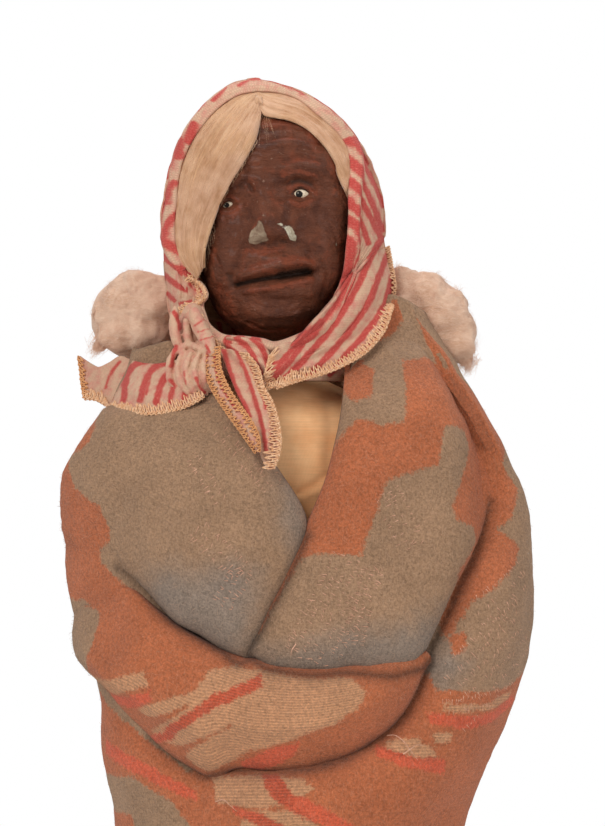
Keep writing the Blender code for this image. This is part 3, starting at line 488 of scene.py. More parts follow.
leftEdgePatch = [
    (40, 380), (107, 380), (109, 415), (111, 436), (107, 450), (100, 457), (90, 464), (90, 490), (99, 500),
    (110, 508), (114, 530), (112, 542), (100, 550), (102, 562), (113, 574), (126, 584), (150, 640), (105, 662),
    (107, 640), (108, 618), (98, 608), (84, 600), (74, 598), (40, 590),
]
patches = {
    "blanketBody": [
        ("terracotta", leftEdgePatch),
        ("terracotta", [(398, 366), (428, 362), (446, 366), (452, 378), (470, 400), (486, 420), (489, 470),
            (505, 492), (500, 520), (490, 530), (505, 548), (500, 565), (480, 588), (462, 602), (440, 640),
            (430, 560), (430, 420), (398, 420)]),
        ("terracotta", [(414, 312), (424, 330), (438, 352), (452, 378), (470, 402), (440, 372), (425, 340)]),
        ("terracotta", [(380, 305), (398, 300), (404, 318), (396, 332), (372, 345)]),
        ("terracotta", [(444, 634), (455, 632), (456, 648), (444, 655)]),
        ("terracotta", [(424, 664), (430, 688), (470, 687), (500, 684), (560, 664), (560, 850), (322, 850),
            (300, 810), (200, 790), (200, 750), (330, 730), (400, 690)]),
        # painted shade beside the deep crease at the right
        ("coolShade", [(414, 664), (440, 640), (458, 660), (440, 686), (420, 690)]),
        ("beige", [(432, 700), (470, 699), (508, 688), (506, 697), (470, 706), (432, 707)]),
        ("beige", [(422, 728), (438, 727), (440, 736), (424, 738)]),
        ("beige", [(386, 738), (410, 734), (422, 745), (424, 756), (400, 754), (380, 748)]),
        ("coral", [(420, 708), (450, 712), (480, 707), (512, 694), (514, 702), (484, 717), (450, 723), (420, 720)]),
        ("coral", [(372, 744), (400, 752), (432, 755), (432, 768), (400, 764), (372, 754)]),
        ("terracotta", [(196, 764), (330, 760), (340, 840), (214, 840), (206, 800), (190, 778)]),
        ("beige", [(214, 776), (262, 774), (300, 776), (312, 786), (290, 800), (255, 806), (220, 800)]),
        ("beige", [(250, 808), (300, 806), (322, 826), (330, 840), (240, 840)]),
        ("coral", [(262, 772), (278, 772), (292, 790), (318, 802), (352, 824), (344, 836), (300, 812), (274, 794)]),
        ("coral", [(236, 802), (262, 808), (290, 824), (292, 836), (262, 822), (238, 810)]),
        ("terracotta", [(100, 690), (130, 724), (165, 752), (210, 786), (214, 840), (200, 830), (175, 800),
            (140, 776), (98, 770)]),
        ("coral", [(112, 738), (150, 762), (200, 790), (202, 802), (150, 776), (112, 752)]),
        ("terracotta", [(60, 690), (102, 700), (103, 775), (60, 775)]),
    ],
    "leftFold": [
        ("terracotta", leftEdgePatch),
        # painted shade along the fold's lower and inner edges
        ("coolShade", [(140, 585), (176, 566), (204, 572), (236, 560), (262, 574), (256, 640), (236, 668), (180, 640)]),
        ("coolShade", [(262, 446), (290, 476), (316, 520), (300, 560), (284, 530), (280, 486)]),
    ],
    "rightFold": [
        # painted shade along the fold's lower edge, over the forearm
        ("coolShade", [(240, 646), (290, 650), (340, 632), (400, 626), (440, 606), (446, 650), (420, 684), (240, 684)]),
        ("terracotta", [(354, 424), (374, 432), (396, 430), (398, 366), (428, 362), (452, 378), (500, 420),
            (500, 620), (462, 602), (449, 610), (450, 590), (452, 570), (462, 556), (470, 540), (464, 528),
            (446, 520), (442, 508), (450, 490), (456, 470), (462, 450), (456, 436), (432, 434), (428, 470),
            (388, 480), (378, 488), (372, 512), (362, 540), (358, 556), (308, 555), (297, 563), (264, 628),
            (230, 660), (240, 600), (290, 540), (310, 500), (330, 450)]),
        ("terracotta", [(345, 345), (366, 352), (362, 366), (372, 374), (370, 404), (350, 406), (340, 390)]),
        ("terracotta", [(380, 305), (398, 300), (404, 318), (396, 332), (372, 345)]),
    ],
    "forearm": [
        ("terracotta", [(70, 540), (126, 560), (300, 600), (460, 600), (460, 800), (70, 800), (70, 690), (100, 690),
            (106, 664), (107, 640), (104, 616), (98, 608), (70, 598)]),
        ("beige", [(100, 668), (130, 674), (162, 668), (166, 680), (134, 690), (104, 680)]),
        ("beige", [(182, 694), (206, 686), (216, 670), (236, 664), (300, 676), (348, 676), (360, 690), (352, 706),
            (330, 722), (300, 734), (280, 742), (250, 750), (226, 764), (212, 770), (198, 764), (190, 754),
            (214, 738), (240, 722), (214, 734), (192, 744), (168, 740), (158, 730), (186, 716), (204, 700),
            (176, 712), (160, 714), (150, 706)]),
        ("terracotta", [(206, 722), (232, 708), (262, 702), (264, 714), (236, 722), (206, 738)]),
        ("terracotta", [(228, 742), (258, 730), (280, 726), (282, 734), (258, 744), (232, 752)]),
        ("coral", [(92, 676), (118, 690), (146, 692), (168, 684), (170, 696), (146, 706), (116, 702), (94, 688)]),
        ("coral", [(152, 736), (176, 728), (200, 710), (222, 692), (250, 680), (264, 672), (266, 684), (246, 694),
            (222, 706), (200, 724), (180, 738), (158, 744)]),
        ("coral", [(242, 762), (262, 752), (280, 744), (300, 740), (298, 750), (282, 762), (262, 770), (246, 770)]),
    ],
}


backPatches = [
    ("terracotta", [(72, 206), (112, 206), (112, 198), (140, 198), (140, 206), (166, 206), (166, 214), (194, 214),
        (194, 206), (220, 206), (220, 198), (248, 198), (248, 206), (272, 206), (272, 160), (300, 160), (300, 118),
        (250, 118), (250, 126), (206, 126), (206, 118), (154, 118), (154, 126), (110, 126), (110, 118), (-30, 118),
        (-30, 150), (72, 150)]),
    ("coral", [(90, 186), (270, 186), (270, 179), (90, 179)]),
    ("beige", [(100, 170), (260, 170), (260, 161), (100, 161)]),
    ("coral", [(80, 140), (280, 140), (280, 134), (80, 134)]),
    ("terracotta", [(100, 300), (120, 300), (120, 290), (134, 290), (134, 276), (120, 276), (120, 262),
        (100, 262)]),
    ("terracotta", [(160, 292), (200, 292), (200, 280), (214, 280), (214, 266), (200, 266), (200, 252), (160, 252),
        (160, 266), (146, 266), (146, 280), (160, 280)]),
    ("terracotta", [(258, 300), (238, 300), (238, 290), (224, 290), (224, 276), (238, 276), (238, 262),
        (258, 262)]),
]
# lines along which painted shade darkens the wool in the creases
creaseShadeLines = [
    [(112, 567), (126, 577), (139, 590), (156, 609), (171, 623), (196, 636), (221, 651), (238, 664), (252, 660),
        (268, 669), (310, 675), (348, 672), (390, 675), (424, 668), (440, 640), (465, 582), (488, 535), (498, 500)],
    [(248, 656), (262, 632), (273, 608), (286, 585), (299, 557), (308, 535)],
    [(143, 737), (163, 754), (186, 769), (203, 778), (228, 771), (267, 772), (305, 770), (348, 758), (384, 737),
        (409, 713), (424, 684), (430, 664)],
]


def paintPatches(name, where):
    depths = {key: np.full(len(where), -9.0) for key in patchKeys}
    for key, shape in patches[name]:
        depth = patchDepth(unrolled(shape), where) / mm
        depths[key] = np.maximum(depths[key], depth)
    if name == "blanketBody":
        for key, shape in backPatches:
            for turn in (0, -360):
                placed = [(math.radians(angle + turn) * girth, z * mm) for angle, z in shape]
                depths[key] = np.maximum(depths[key], patchDepth(np.array(placed), where) / mm)
    depths = {key: np.clip(value, -9, 9) for key, value in depths.items()}
    # painted shade that darkens the wool close to the creases
    near = np.min([distanceTo(unrolled(line, 3 * mm), where) for line in creaseShadeLines], axis=0) / mm
    depths["creaseShade"] = np.exp(-((near / 1.9) ** 1.3))
    return depths


def ripple(points, size, height, seed=0.0):
    # a smooth wandering height at each point
    shift = Vector((seed * 7.1, seed * 3.3, seed * 5.7))
    return np.array([noise.noise(Vector(p) / size + shift) for p in points]) * height


def addPiece(name, bm, material, body):
    mesh = bpy.data.meshes.new(name)
    bm.to_mesh(mesh)
    bm.free()
    mesh.materials.append(material)
    mesh.shade_smooth()
    piece = bpy.data.objects.new(name, mesh)
    scene.collection.objects.link(piece)
    if body:  # pieces that blend from one body to another ride on neither
        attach(piece, body)
    return piece


def ribbon(bm, line, wide, toward=(0, -1, 0)):
    # a flat strand, broad side to the given way, tapering to its tip
    line = np.asarray(line, float)
    across = unit(np.cross(np.gradient(line, axis=0), toward)) * wide * np.linspace(1, 0.25, len(line))[:, None] / 2
    left, right = ([bm.verts.new(p) for p in side] for side in (line - across, line + across))
    for i in range(len(line) - 1):
        bm.faces.new((left[i], right[i], right[i + 1], left[i + 1]))
    return left + right


def gridCloth(name, columns, rows, place, size, material, thickness, closed=False, opening=None, body="body"):
    # a sheet on a fine grid: place gives each point from its share across and up
    bm = bmesh.new()
    bm.loops.layers.uv.new("cloth")
    bmesh.ops.create_grid(bm, x_segments=columns, y_segments=rows, size=0.5, calc_uvs=True)
    shares = np.array([(v.co.x + 0.5, v.co.y + 0.5) for v in bm.verts])
    points, values = place(shares[:, 0], shares[:, 1])
    for key, amounts in values.items():
        layer = bm.verts.layers.float.new(key)
        for vert, amount in zip(bm.verts, amounts):
            vert[layer] = float(amount)
    for vert, point in zip(bm.verts, points):
        vert.co = point
    if opening is not None:
        gone = opening(shares[:, 0], shares[:, 1])
        bm.verts.ensure_lookup_table()
        bmesh.ops.delete(bm, geom=[v for v, out in zip(list(bm.verts), gone) if out], context="VERTS")
        # the cut edge runs smoothly
        rim = {v: [e.other_vert(v) for e in v.link_edges if e.is_boundary] for v in bm.verts if v.is_boundary}
        rim = {v: near for v, near in rim.items() if len(near) == 2}
        for _ in range(10):
            middles = {v: (near[0].co + near[1].co) / 2 for v, near in rim.items()}
            for v, middle in middles.items():
                v.co = v.co.lerp(middle, 0.5)
    uv = bm.loops.layers.uv.active
    for face in bm.faces:
        for loop in face.loops:
            loop[uv].uv = (loop[uv].uv.x * size[0], loop[uv].uv.y * size[1])
    if closed:
        bmesh.ops.remove_doubles(bm, verts=bm.verts, dist=0.01 * mm)
    else:
        # an open sheet shows its face to the front
        bm.normal_update()
        if sum(face.normal.y * face.calc_area() for face in bm.faces) > 0:
            bmesh.ops.reverse_faces(bm, faces=bm.faces)
    piece = addPiece(name, bm, material, body)
    if thickness:
        wall = piece.modifiers.new("thickness", "SOLIDIFY")
        wall.thickness = thickness
        wall.offset = -1
    return piece


bodySet = {"columns": 256, "rows": 176, "low": 66 * mm, "thickness": 3.6 * mm}
creaseLine = [  # where the crossed arms end over the skirt and the right sleeve
    (500, 492), (490, 533), (467, 580), (441, 640), (426, 680), (406, 718), (362, 751), (293, 768), (228, 772),
    (196, 773), (160, 756), (128, 730), (104, 700), (84, 668),
]
creaseRun = smoothLine(unrolled(creaseLine, 2 * mm), 90)
creaseRing = np.vstack([creaseRun, [(creaseRun[-1][0], 0.36), (creaseRun[0][0], 0.36)]])


def bodyLift(angle, z, points):
    # the sleeve and the second forearm swell from under the crease, and the skirt hangs in soft folds
    where = np.stack([angle * girth, z], axis=-1)
    far = distanceTo(creaseRun, where) / mm
    under = np.where(insideOf(creaseRing, where), 0, np.clip(far / 15, 0, 1))
    swell = np.sqrt(1 - (1 - under) ** 2) * np.exp(-(np.maximum(far - 16, 0) / 34) ** 2)
    share = np.clip((angle + 0.62) / 0.5, 0, 1)
    lift = 9.5 * mm * swell * (0.25 + 0.75 * share**2 * (3 - 2 * share)) * np.clip(np.cos(angle) * 1.7, 0, 1)
    skirt = np.clip((165 * mm - z) / (90 * mm), 0, 1)
    lift = lift + skirt * 2.6 * mm * np.sin(angle * 7 + 1.3 * np.sin(angle * 2 + 0.6))
    lift = lift + ripple(points, 26 * mm, 1.6 * mm, 1) + ripple(points, 9 * mm, 0.55 * mm, 2)
    lift = lift + ripple(points, 2.6 * mm, 0.16 * mm, 3)
    return lift


collarRows = [
    (-180, 348), (-130, 346), (-90, 335), (-58, 337), (-20, 349), (20, 354), (50, 356), (78, 350), (100, 349),
    (140, 350), (180, 348),
]


def collarHeight(angle):
    # the collar stands high at the right of the neck and lies low at the left shoulder
    turns, heights = np.array(smoothLine(collarRows, 80)).T
    return np.interp(np.degrees(angle), turns, heights) * mm


def placeBody(u, v):
    angle = (u - 0.5) * 2 * math.pi
    z = bodySet["low"] + v * (collarHeight(angle) - bodySet["low"])
    points = wrapPoint(angle, z)
    lift = bodyLift(angle, z, points)
    where = np.stack([angle * girth, z], axis=-1)
    return points + wrapNormal(angle, z) * lift[:, None], paintPatches("blanketBody", where)


neckOpening = [
    (176, 250), (176, 404), (219, 414), (258, 466), (292, 520), (312, 545), (332, 510), (340, 466), (344, 420),
    (346, 372), (350, 352), (364, 338), (378, 318), (385, 292), (386, 250),
]


def inNeck(u, v):
    angle = (u - 0.5) * 2 * math.pi
    z = bodySet["low"] + v * (collarHeight(angle) - bodySet["low"])
    x = wrapPoint(angle, z)[:, 0]
    shape = [((column - axisColumn) * 0.38 * mm, heightAt(row)) for column, row in neckOpening]
    return insideOf(np.array(shape), np.stack([x, z], axis=-1)) & (np.cos(angle) > 0)


blanketBody = gridCloth(
    "blanketBody", bodySet["columns"], bodySet["rows"], placeBody, (2 * math.pi * girth, 0.286), blanketWool,
    bodySet["thickness"], True, inNeck,
)
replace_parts(blanketBody, "blanket")
print("blanket body made")

# The folds over it: each lies between four traced edges, puffs up and rolls under at its free edges

foldSet = {
    "leftFold": {
        "top": [(84, 396), (106, 394), (132, 390), (170, 385), (216, 380)],
        "bottom": [(48, 556), (72, 552), (96, 558), (112, 567), (126, 577), (139, 590), (156, 609), (171, 623),
            (196, 636), (221, 651), (246, 660)],
        "left": [(48, 556), (40, 500), (56, 440), (84, 396)],
        "right": [(246, 660), (262, 632), (273, 608), (286, 585), (299, 557), (307, 535), (307, 518), (299, 500),
            (284, 478), (262, 447), (240, 416), (216, 380)],
        "free": ("bottom", "right"),
        "fade": [([(106, 570), (74, 562), (44, 556), (40, 500), (56, 440), (84, 396)], 50.0), ([(84, 396),
            (132, 390), (216, 380)], 13.0)],
        "grid": (170, 150), "size": (0.13, 0.11), "lift": 0.5, "puff": 11.5, "edge": 17.0, "thickness": 4.0,
    },
    "rightFold": {
        "top": [(348, 358), (366, 345), (381, 329), (398, 318), (422, 330), (446, 358), (466, 392)],
        "bottom": [(238, 664), (252, 659), (268, 669), (285, 673), (310, 675), (332, 675), (348, 672), (356, 671),
            (368, 674), (390, 675), (406, 672), (420, 666)],
        "left": [(238, 664), (262, 610), (284, 565), (303, 530), (312, 512), (326, 480), (335, 448), (342, 418),
            (346, 388), (348, 358)],
        "right": [(420, 666), (430, 652), (442, 627), (453, 602), (465, 577), (480, 550), (492, 528), (498, 496),
            (490, 446), (466, 392)],
        "free": ("bottom", "left", "right"),
        "fade": [([(348, 358), (381, 329), (422, 330), (466, 392), (490, 446), (499, 500)], 30.0)],
        "grid": (130, 160), "size": (0.085, 0.12), "lift": 0.2, "puff": 8.5, "edge": 15.0, "thickness": 3.8,
    },
    "forearm": {
        "top": [(44, 604), (70, 596), (98, 588), (124, 588), (150, 608), (190, 634), (240, 655), (300, 664),
            (360, 662), (404, 654), (428, 650)],
        "bottom": [(50, 676), (78, 670), (92, 680), (104, 694), (114, 708), (129, 723), (143, 737), (163, 754),
            (186, 769), (203, 778), (216, 779), (228, 771), (243, 769), (267, 772), (305, 770), (327, 766),
            (348, 758), (367, 749), (384, 737), (398, 726), (409, 713), (417, 700), (424, 684), (428, 668)],
        "left": [(50, 676), (42, 640), (44, 604)], "right": [(428, 668), (432, 660), (428, 650)],
        "free": ("bottom",), "fade": [([(84, 690), (50, 676), (42, 640), (44, 604), (98, 588)], 34.0)],
        "grid": (200, 84), "size": (0.16, 0.05), "lift": 0.0, "puff": 13.0, "edge": 22.0, "thickness": 3.6,
    },
}


def edgeLines(given, columns, rows, ease=0.0):
    # four edges at the steps of a grid; sides that aren't traced run straight
    bottom, top = given["bottom"], given["top"]
    lines = {"bottom": bottom, "top": top, "left": [bottom[0], top[0]], "right": [bottom[-1], top[-1]], **given}
    steps = {"bottom": columns, "top": columns, "left": rows, "right": rows}
    return {key: smoothLine(line, steps[key] + 1, ease) for key, line in lines.items()}


def between(lines, columns, rows, u, v):
    # the places that four edges span
    i, j = np.rint(u * columns).astype(int), np.rint(v * rows).astype(int)
    u, v = u[:, None], v[:, None]
    low, high = lines["bottom"], lines["top"]
    corners = (1 - u) * (1 - v) * low[0] + u * (1 - v) * low[-1] + (1 - u) * v * high[0] + u * v * high[-1]
    return (1 - v) * low[i] + v * high[i] + (1 - u) * lines["left"][j] + u * lines["right"][j] - corners


def makeFold(name):
    given = foldSet[name]
    columns, rows = given["grid"]
    lines = {key: unrolled(given[key], 4 * mm) for key in ("top", "bottom", "left", "right")}
    lines = edgeLines(lines, columns, rows, 0.6)

    def place(u, v):
        where = between(lines, columns, rows, u, v)
        angle, z = where[:, 0] / girth, where[:, 1]
        points = wrapPoint(angle, z)
        lift = bodyLift(angle, z, points) if name != "forearm" else ripple(points, 26 * mm, 1.6 * mm, 1)
        near = np.min([distanceTo(lines[key], where) for key in given["free"]], axis=0)
        share = np.clip(near / (given["edge"] * mm), 0, 1)
        own = given["lift"] + given["puff"] * np.sqrt(np.clip(1 - (1 - share) ** 2, 0, 1))
        if name == "forearm":
            roll = np.sin(np.clip(v, 0, 1) ** 0.8 * math.pi) ** 0.55
            own = given["lift"] + given["puff"] * roll * np.clip(share + 0.25, 0, 1)
        keep, dip = np.ones(len(where)), np.ones(len(where))
        for line, reach in given["fade"]:
            far = distanceTo(unrolled(line, 4 * mm), where) / mm
            keep = np.minimum(keep, np.clip(far / reach, 0, 1))
            dip = np.minimum(dip, np.clip(far / 12, 0, 1))
        if name == "leftFold":
            own = own * (0.38 + 0.62 * np.clip((318 * mm - z) / (34 * mm), 0, 1))
        own = own * smoothShare(keep) + 0.25 - 1.6 * (1 - dip) ** 2
        lift = lift + own * mm + ripple(points, 11 * mm, 0.5 * mm, 4) + ripple(points, 2.4 * mm, 0.16 * mm, 5)
        return points + wrapNormal(angle, z) * lift[:, None], paintPatches(name, where)

    return gridCloth(name, columns, rows, place, given["size"], blanketWool, given["thickness"] * mm)


leftFold = makeFold("leftFold")
rightFold = makeFold("rightFold")
forearm = makeFold("forearm")
print("blanket folds made")

def fromPicture(columns, rows, y):
    share = (cameraSet["distance"] + y) / cameraSet["distance"]
    x = cameraSet["column"] + (np.asarray(columns, float) - middleColumn) * 0.38 * mm * share
    z = cameraSet["height"] + (heightAt(np.asarray(rows, float)) - cameraSet["height"]) * share
    return np.stack([x, np.broadcast_to(y, x.shape), z], axis=-1)


def spotAt(column, row, y):
    return Vector(fromPicture([column], [row], y)[0])


def makeThread(name, first, second, spots=900):
    material, tree, place = newMaterial(name, 0.85, 0.1, 0.2)
    base = toned(tree, noiseOf(tree, place, spots, 3, 0.6), 0.35, 0.65, first, second)
    return coated(material, base, noiseOf(tree, place, 4000, 2, 0.5), 0.0001, 0.5)


# Nap of the wool: short fibres that stand out of the surface, in the colour they grow from

napSet = {
    "blanketBody": 4200, "leftFold": 2400, "rightFold": 2400, "forearm": 1800, "length": (1.2, 3.4),
    "width": (0.07, 0.13),
}


def makeNap():
    bm = bmesh.new()
    layers = [bm.verts.layers.float.new(key) for key in patchKeys]
    for sheet in (blanketBody, leftFold, rightFold, forearm):
        mesh = sheet.data
        values = [mesh.attributes[key].data for key in patchKeys]
        for at in chance.integers(0, len(mesh.vertices), napSet[sheet.name]):
            root = mesh.vertices[at]
            spot = root.co.copy()
            out = root.normal if root.normal.dot(spot - Vector((0, spineBack, spot.z))) > 0 else -root.normal
            along = out.cross(Vector(chance.normal(0, 1, 3))).normalized()
            length = chance.uniform(*napSet["length"]) * mm
            tall = chance.uniform(0.06, 0.4)
            bow = out.cross(along) * length * chance.uniform(-0.3, 0.3)
            line = [
                tuple(spot + along * length * t + bow * t * t + out * (length * tall * math.sin(t * 2.6) - 0.15 * mm))
                for t in (0, 0.3, 0.6, 1.0)
            ]
            for vert in ribbon(bm, line, chance.uniform(*napSet["width"]) * mm, np.array(out)):
                for layer, value in zip(layers, values):
                    vert[layer] = value[at].value
    addPiece("blanketNap", bm, woolFibre, "body")


makeNap()

# rows of worn pink threads that show in the grey: first and last place in the picture, number of rows and the
# step between them
threadRows = [
    ((216, 434), (266, 492), 4, (8, -6)), ((204, 520), (252, 566), 3, (-8, 6)), ((334, 550), (284, 648), 7, (8, 3)),
    ((236, 560), (214, 600), 3, (8, 4)), ((396, 486), (422, 540), 4, (-7, 4)), ((362, 566), (344, 640), 3, (8, 2)),
    ((442, 664), (520, 600), 6, (4, 13)), ((474, 600), (526, 560), 4, (4, 12)),
    ((196, 452), (228, 500), 2, (-9, 5)), ((440, 700), (512, 690), 2, (0, 12)),
]
looseThreads = [
    [(386, 733), (394, 732), (402, 737), (409, 746), (417, 757)], [(402, 750), (409, 745), (416, 741), (422, 742)],
    [(216, 798), (224, 795), (231, 800), (238, 806)], [(296, 640), (292, 646), (291, 652)],
]


def makeWornThreads():
    trees = [treeOf(sheet) for sheet in (leftFold, rightFold, blanketBody, forearm)]
    bm = bmesh.new()

    def laid(columns, rows, rise, wide):
        # a thread on the cloth that lies foremost there
        line = []
        for column, row, up in zip(columns, rows, rise):
            spot = spotAt(column, row, -0.03)
            hits = [tree.ray_cast(Vector((spot.x, -0.2, spot.z)), Vector((0, 1, 0)))[0] for tree in trees]
            hits = [hit for hit in hits if hit]
            if hits:
                line.append(tuple(min(hits, key=lambda hit: hit.y) - Vector((0, up * mm, 0))))
        if len(line) > 2:
            ribbon(bm, line, wide * mm)

    for start, end, rows, step in threadRows:
        start, end, step = Vector(start), Vector(end), Vector(step)
        run = end - start
        for row in range(rows):
            for at in np.arange(0, run.length, 3.9):
                if chance.uniform() < 0.25:
                    continue
                place = start + step * row + run.normalized() * at + Vector(chance.normal(0, 0.8, 2))
                lean = Vector((-run.y, run.x)).normalized() * chance.uniform(1.3, 2.8)
                lean += Vector(chance.normal(0, 0.7, 2))
                parts = np.array([-1, -0.3, 0.3, 1])
                rise = 0.28 - 0.22 * np.abs(parts)
                laid(place.x + lean.x * parts, place.y + lean.y * parts, rise, chance.uniform(0.2, 0.34))
    for points in looseThreads:
        line = smoothLine(points, 14)
        laid(line[:, 0], line[:, 1], 0.3 + 0.9 * np.sin(np.linspace(0, math.pi, 14)), 0.42)
    addPiece("wornThreads", bm, makeThread("wornThread", colour(196, 142, 116), colour(222, 174, 148)), "body")


makeWornThreads()
print("nap made")

# Everything placed in front by the picture

def toPicture(points):
    share = cameraSet["distance"] / (cameraSet["distance"] + points[:, 1])
    columns = middleColumn + (points[:, 0] - cameraSet["column"]) * share / pixel
    rows = topRow + (topHeight * mm - cameraSet["height"] - (points[:, 2] - cameraSet["height"]) * share) / pixel
    return np.stack([columns, rows], axis=-1)


def spotShare(picture, column, row, wide, high):
    # 1 at a place in the picture, falling off round it
    return np.exp(-((picture[:, 0] - column) / wide) ** 2 - ((picture[:, 1] - row) / high) ** 2)


def lineShare(picture, points, wide, count):
    # 1 on a line in the picture, falling off beside it
    return np.exp(-(distanceTo(smoothLine(points, count), picture) / wide) ** 2)


def addLayer(bm, key, amounts):
    layer = bm.verts.layers.float.new(key)
    for vert, amount in zip(bm.verts, amounts):
        vert[layer] = float(amount)


# Head: a dried apple, carved, lacquered dark and rubbed back to red on what stands out

headSet = {"around": 320, "rings": 220, "square": 2.6}
headRows = [  # row and edges in the picture, front and back reach in mm
    (108.5, 276, 278, 2, 2), (111, 262, 290, 11, 12), (117, 243, 307, 18, 19), (130, 222, 326, 24.5, 25),
    (150, 206, 343, 28, 29), (175, 199, 354, 29.5, 31), (200, 197, 358, 30, 31), (230, 197, 358, 30.5, 31),
    (260, 199, 353, 31, 30), (280, 203, 346, 31, 28), (300, 211, 335, 30, 26), (315, 220, 325, 28, 22),
    (329, 235, 309, 23.5, 17), (338, 252, 292, 16, 10), (342.5, 266, 280, 8, 5), (344, 272, 274, 1.5, 1.5),
]
# place in the picture, half width, half height, height in mm
headSwells = [
    (305, 168, 24, 8, 1.5), (243, 176, 16, 8, 1.2), (303, 191, 20, 11, -2.2), (231, 202, 13, 11, -2.0),
    (318, 205, 22, 8, 0.6), (263, 190, 10, 24, 1.7), (268, 222, 14, 18, 4.0), (251, 238, 9, 8, 2.0),
    (288, 233, 9, 9, 2.3), (270, 233, 11, 9, 1.5), (262, 243, 4, 3, -1.1), (282, 240, 4, 3, -1.1),
    (270, 251, 14, 4, -0.7), (278, 261, 30, 9, 1.3), (279, 291, 28, 7, 1.2), (276, 313, 27, 14, 1.6),
    (278, 300, 22, 4, -0.7), (235, 283, 8, 7, -1.3), (315, 274, 6, 7, -0.9), (327, 234, 17, 24, 1.0),
    (221, 242, 13, 24, 0.9), (290, 143, 34, 15, 0.9), (214, 300, 10, 18, -0.6), (326, 296, 10, 18, -0.5),
]
mouthLine = [(236, 285), (252, 281), (272, 277.5), (292, 274.5), (311, 272)]
mouthWide = [(280, 276), (294, 273.5), (307, 271.5)]
headLines = [  # points, half width in picture points, height in mm
    (mouthLine, 2.6, -2.2), (mouthWide, 4.4, -1.4),
    ([(242, 277), (262, 270), (286, 265.5), (304, 262.5), (314, 268)], 3.2, 0.9),
    ([(245, 291), (266, 288), (290, 284), (311, 280)], 3.4, 0.8), ([(246, 243), (239, 260), (232, 276)], 3.0, -0.7),
    ([(299, 243), (311, 256), (319, 268)], 3.0, -0.6),
    ([(289, 191), (298, 186), (308, 187.5), (315, 194)], 1.9, 1.0),
    ([(290, 200), (300, 203.5), (312, 199)], 1.9, 0.8), ([(285, 184), (298, 179), (314, 183)], 1.8, -0.8),
    ([(281, 176), (296, 169), (318, 174)], 1.6, -0.5), ([(284, 162), (300, 157), (320, 161)], 1.8, -0.5),
    ([(288, 208), (302, 211), (318, 207)], 1.8, -0.5), ([(219, 200), (228, 196.5), (238, 201)], 1.8, 0.8),
    ([(220, 210), (229, 211.5), (238, 206)], 1.8, 0.6), ([(236, 186), (246, 182), (253, 190)], 2.0, -0.8),
    ([(262, 142), (290, 138), (320, 144)], 1.6, -0.5), ([(264, 152), (288, 148), (312, 151)], 1.6, -0.45),
    ([(268, 131), (288, 128), (306, 131)], 1.6, -0.45), ([(322, 262), (327, 280), (322, 298)], 1.8, -0.6),
    ([(254, 303), (270, 307.5), (294, 304)], 1.8, -0.5), ([(320, 222), (332, 230), (338, 246)], 1.6, -0.4),
    ([(322, 190), (332, 186), (340, 188)], 1.4, -0.4), ([(322, 196), (334, 197), (342, 202)], 1.4, -0.4),
    ([(248, 322), (268, 330), (292, 328)], 1.8, -0.45), ([(216, 256), (222, 270), (220, 288)], 1.8, -0.5),
]
wearSpots = [  # place in the picture, half width, half height, amount
    (276, 122, 26, 7, 1.0), (316, 138, 14, 12, 0.8), (336, 166, 8, 22, 0.7), (300, 160, 22, 5, 0.5),
    (286, 172, 20, 4, 0.5), (250, 186, 12, 8, 0.35), (232, 214, 14, 9, 0.6), (262, 252, 20, 7, 0.7),
    (292, 262, 24, 5, 0.8), (262, 270, 24, 3, 0.7), (290, 286, 24, 3, 0.6), (262, 334, 36, 8, 1.0),
    (306, 326, 20, 9, 0.9), (334, 300, 10, 20, 0.8), (346, 250, 8, 40, 0.8), (222, 316, 12, 18, 0.8),
    (244, 262, 8, 10, 0.4), (218, 290, 12, 14, 0.6), (302, 186, 18, 4, 0.5), (276, 198, 8, 14, 0.25),
    (318, 252, 12, 14, 0.4), (212, 250, 8, 26, 0.5), (302, 204, 14, 4, 0.45),
]
wearLines = [  # points, half width, amount
    ([(290, 190), (298, 185), (309, 187), (317, 193)], 2.4, 1.3),
    ([(291, 201), (300, 204.5), (313, 200)], 2.4, 1.2), ([(283, 176), (296, 171), (316, 176)], 2.2, 0.9),
    ([(286, 165), (300, 160), (318, 164)], 2.6, 0.8), ([(262, 143), (290, 139), (316, 144)], 1.8, 0.7),
    ([(219, 199), (228, 195.5), (238, 200)], 2.2, 1.0), ([(220, 211), (229, 213), (240, 206)], 2.4, 1.1),
    ([(256, 228), (262, 216), (268, 216)], 2.0, 0.9), ([(246, 250), (264, 252), (284, 248)], 3.0, 0.9),
    ([(252, 266), (272, 261), (296, 258), (312, 262)], 3.0, 0.9),
    ([(246, 291), (266, 288), (292, 284), (312, 279)], 2.6, 0.9),
    ([(336, 170), (345, 190), (350, 215), (350, 245), (344, 270)], 3.2, 1.0),
]
headChips = {
    "chip": [[(249, 240), (252, 232), (256, 228), (259, 221), (263, 223), (265, 232), (267, 238), (271, 241),
        (262, 242), (257, 245), (250, 244)]],
    "paleChip": [[(284, 228), (288, 226), (292, 227), (297, 238), (296, 242), (290, 240), (286, 233)],
        [(261, 215.4), (264, 214.4), (268, 216), (267, 217.4), (262, 217)], [(277, 224.4), (281, 223.6), (284, 226),
        (279, 226.4)], [(334.5, 242), (337.5, 243), (336, 246.5)]],
}
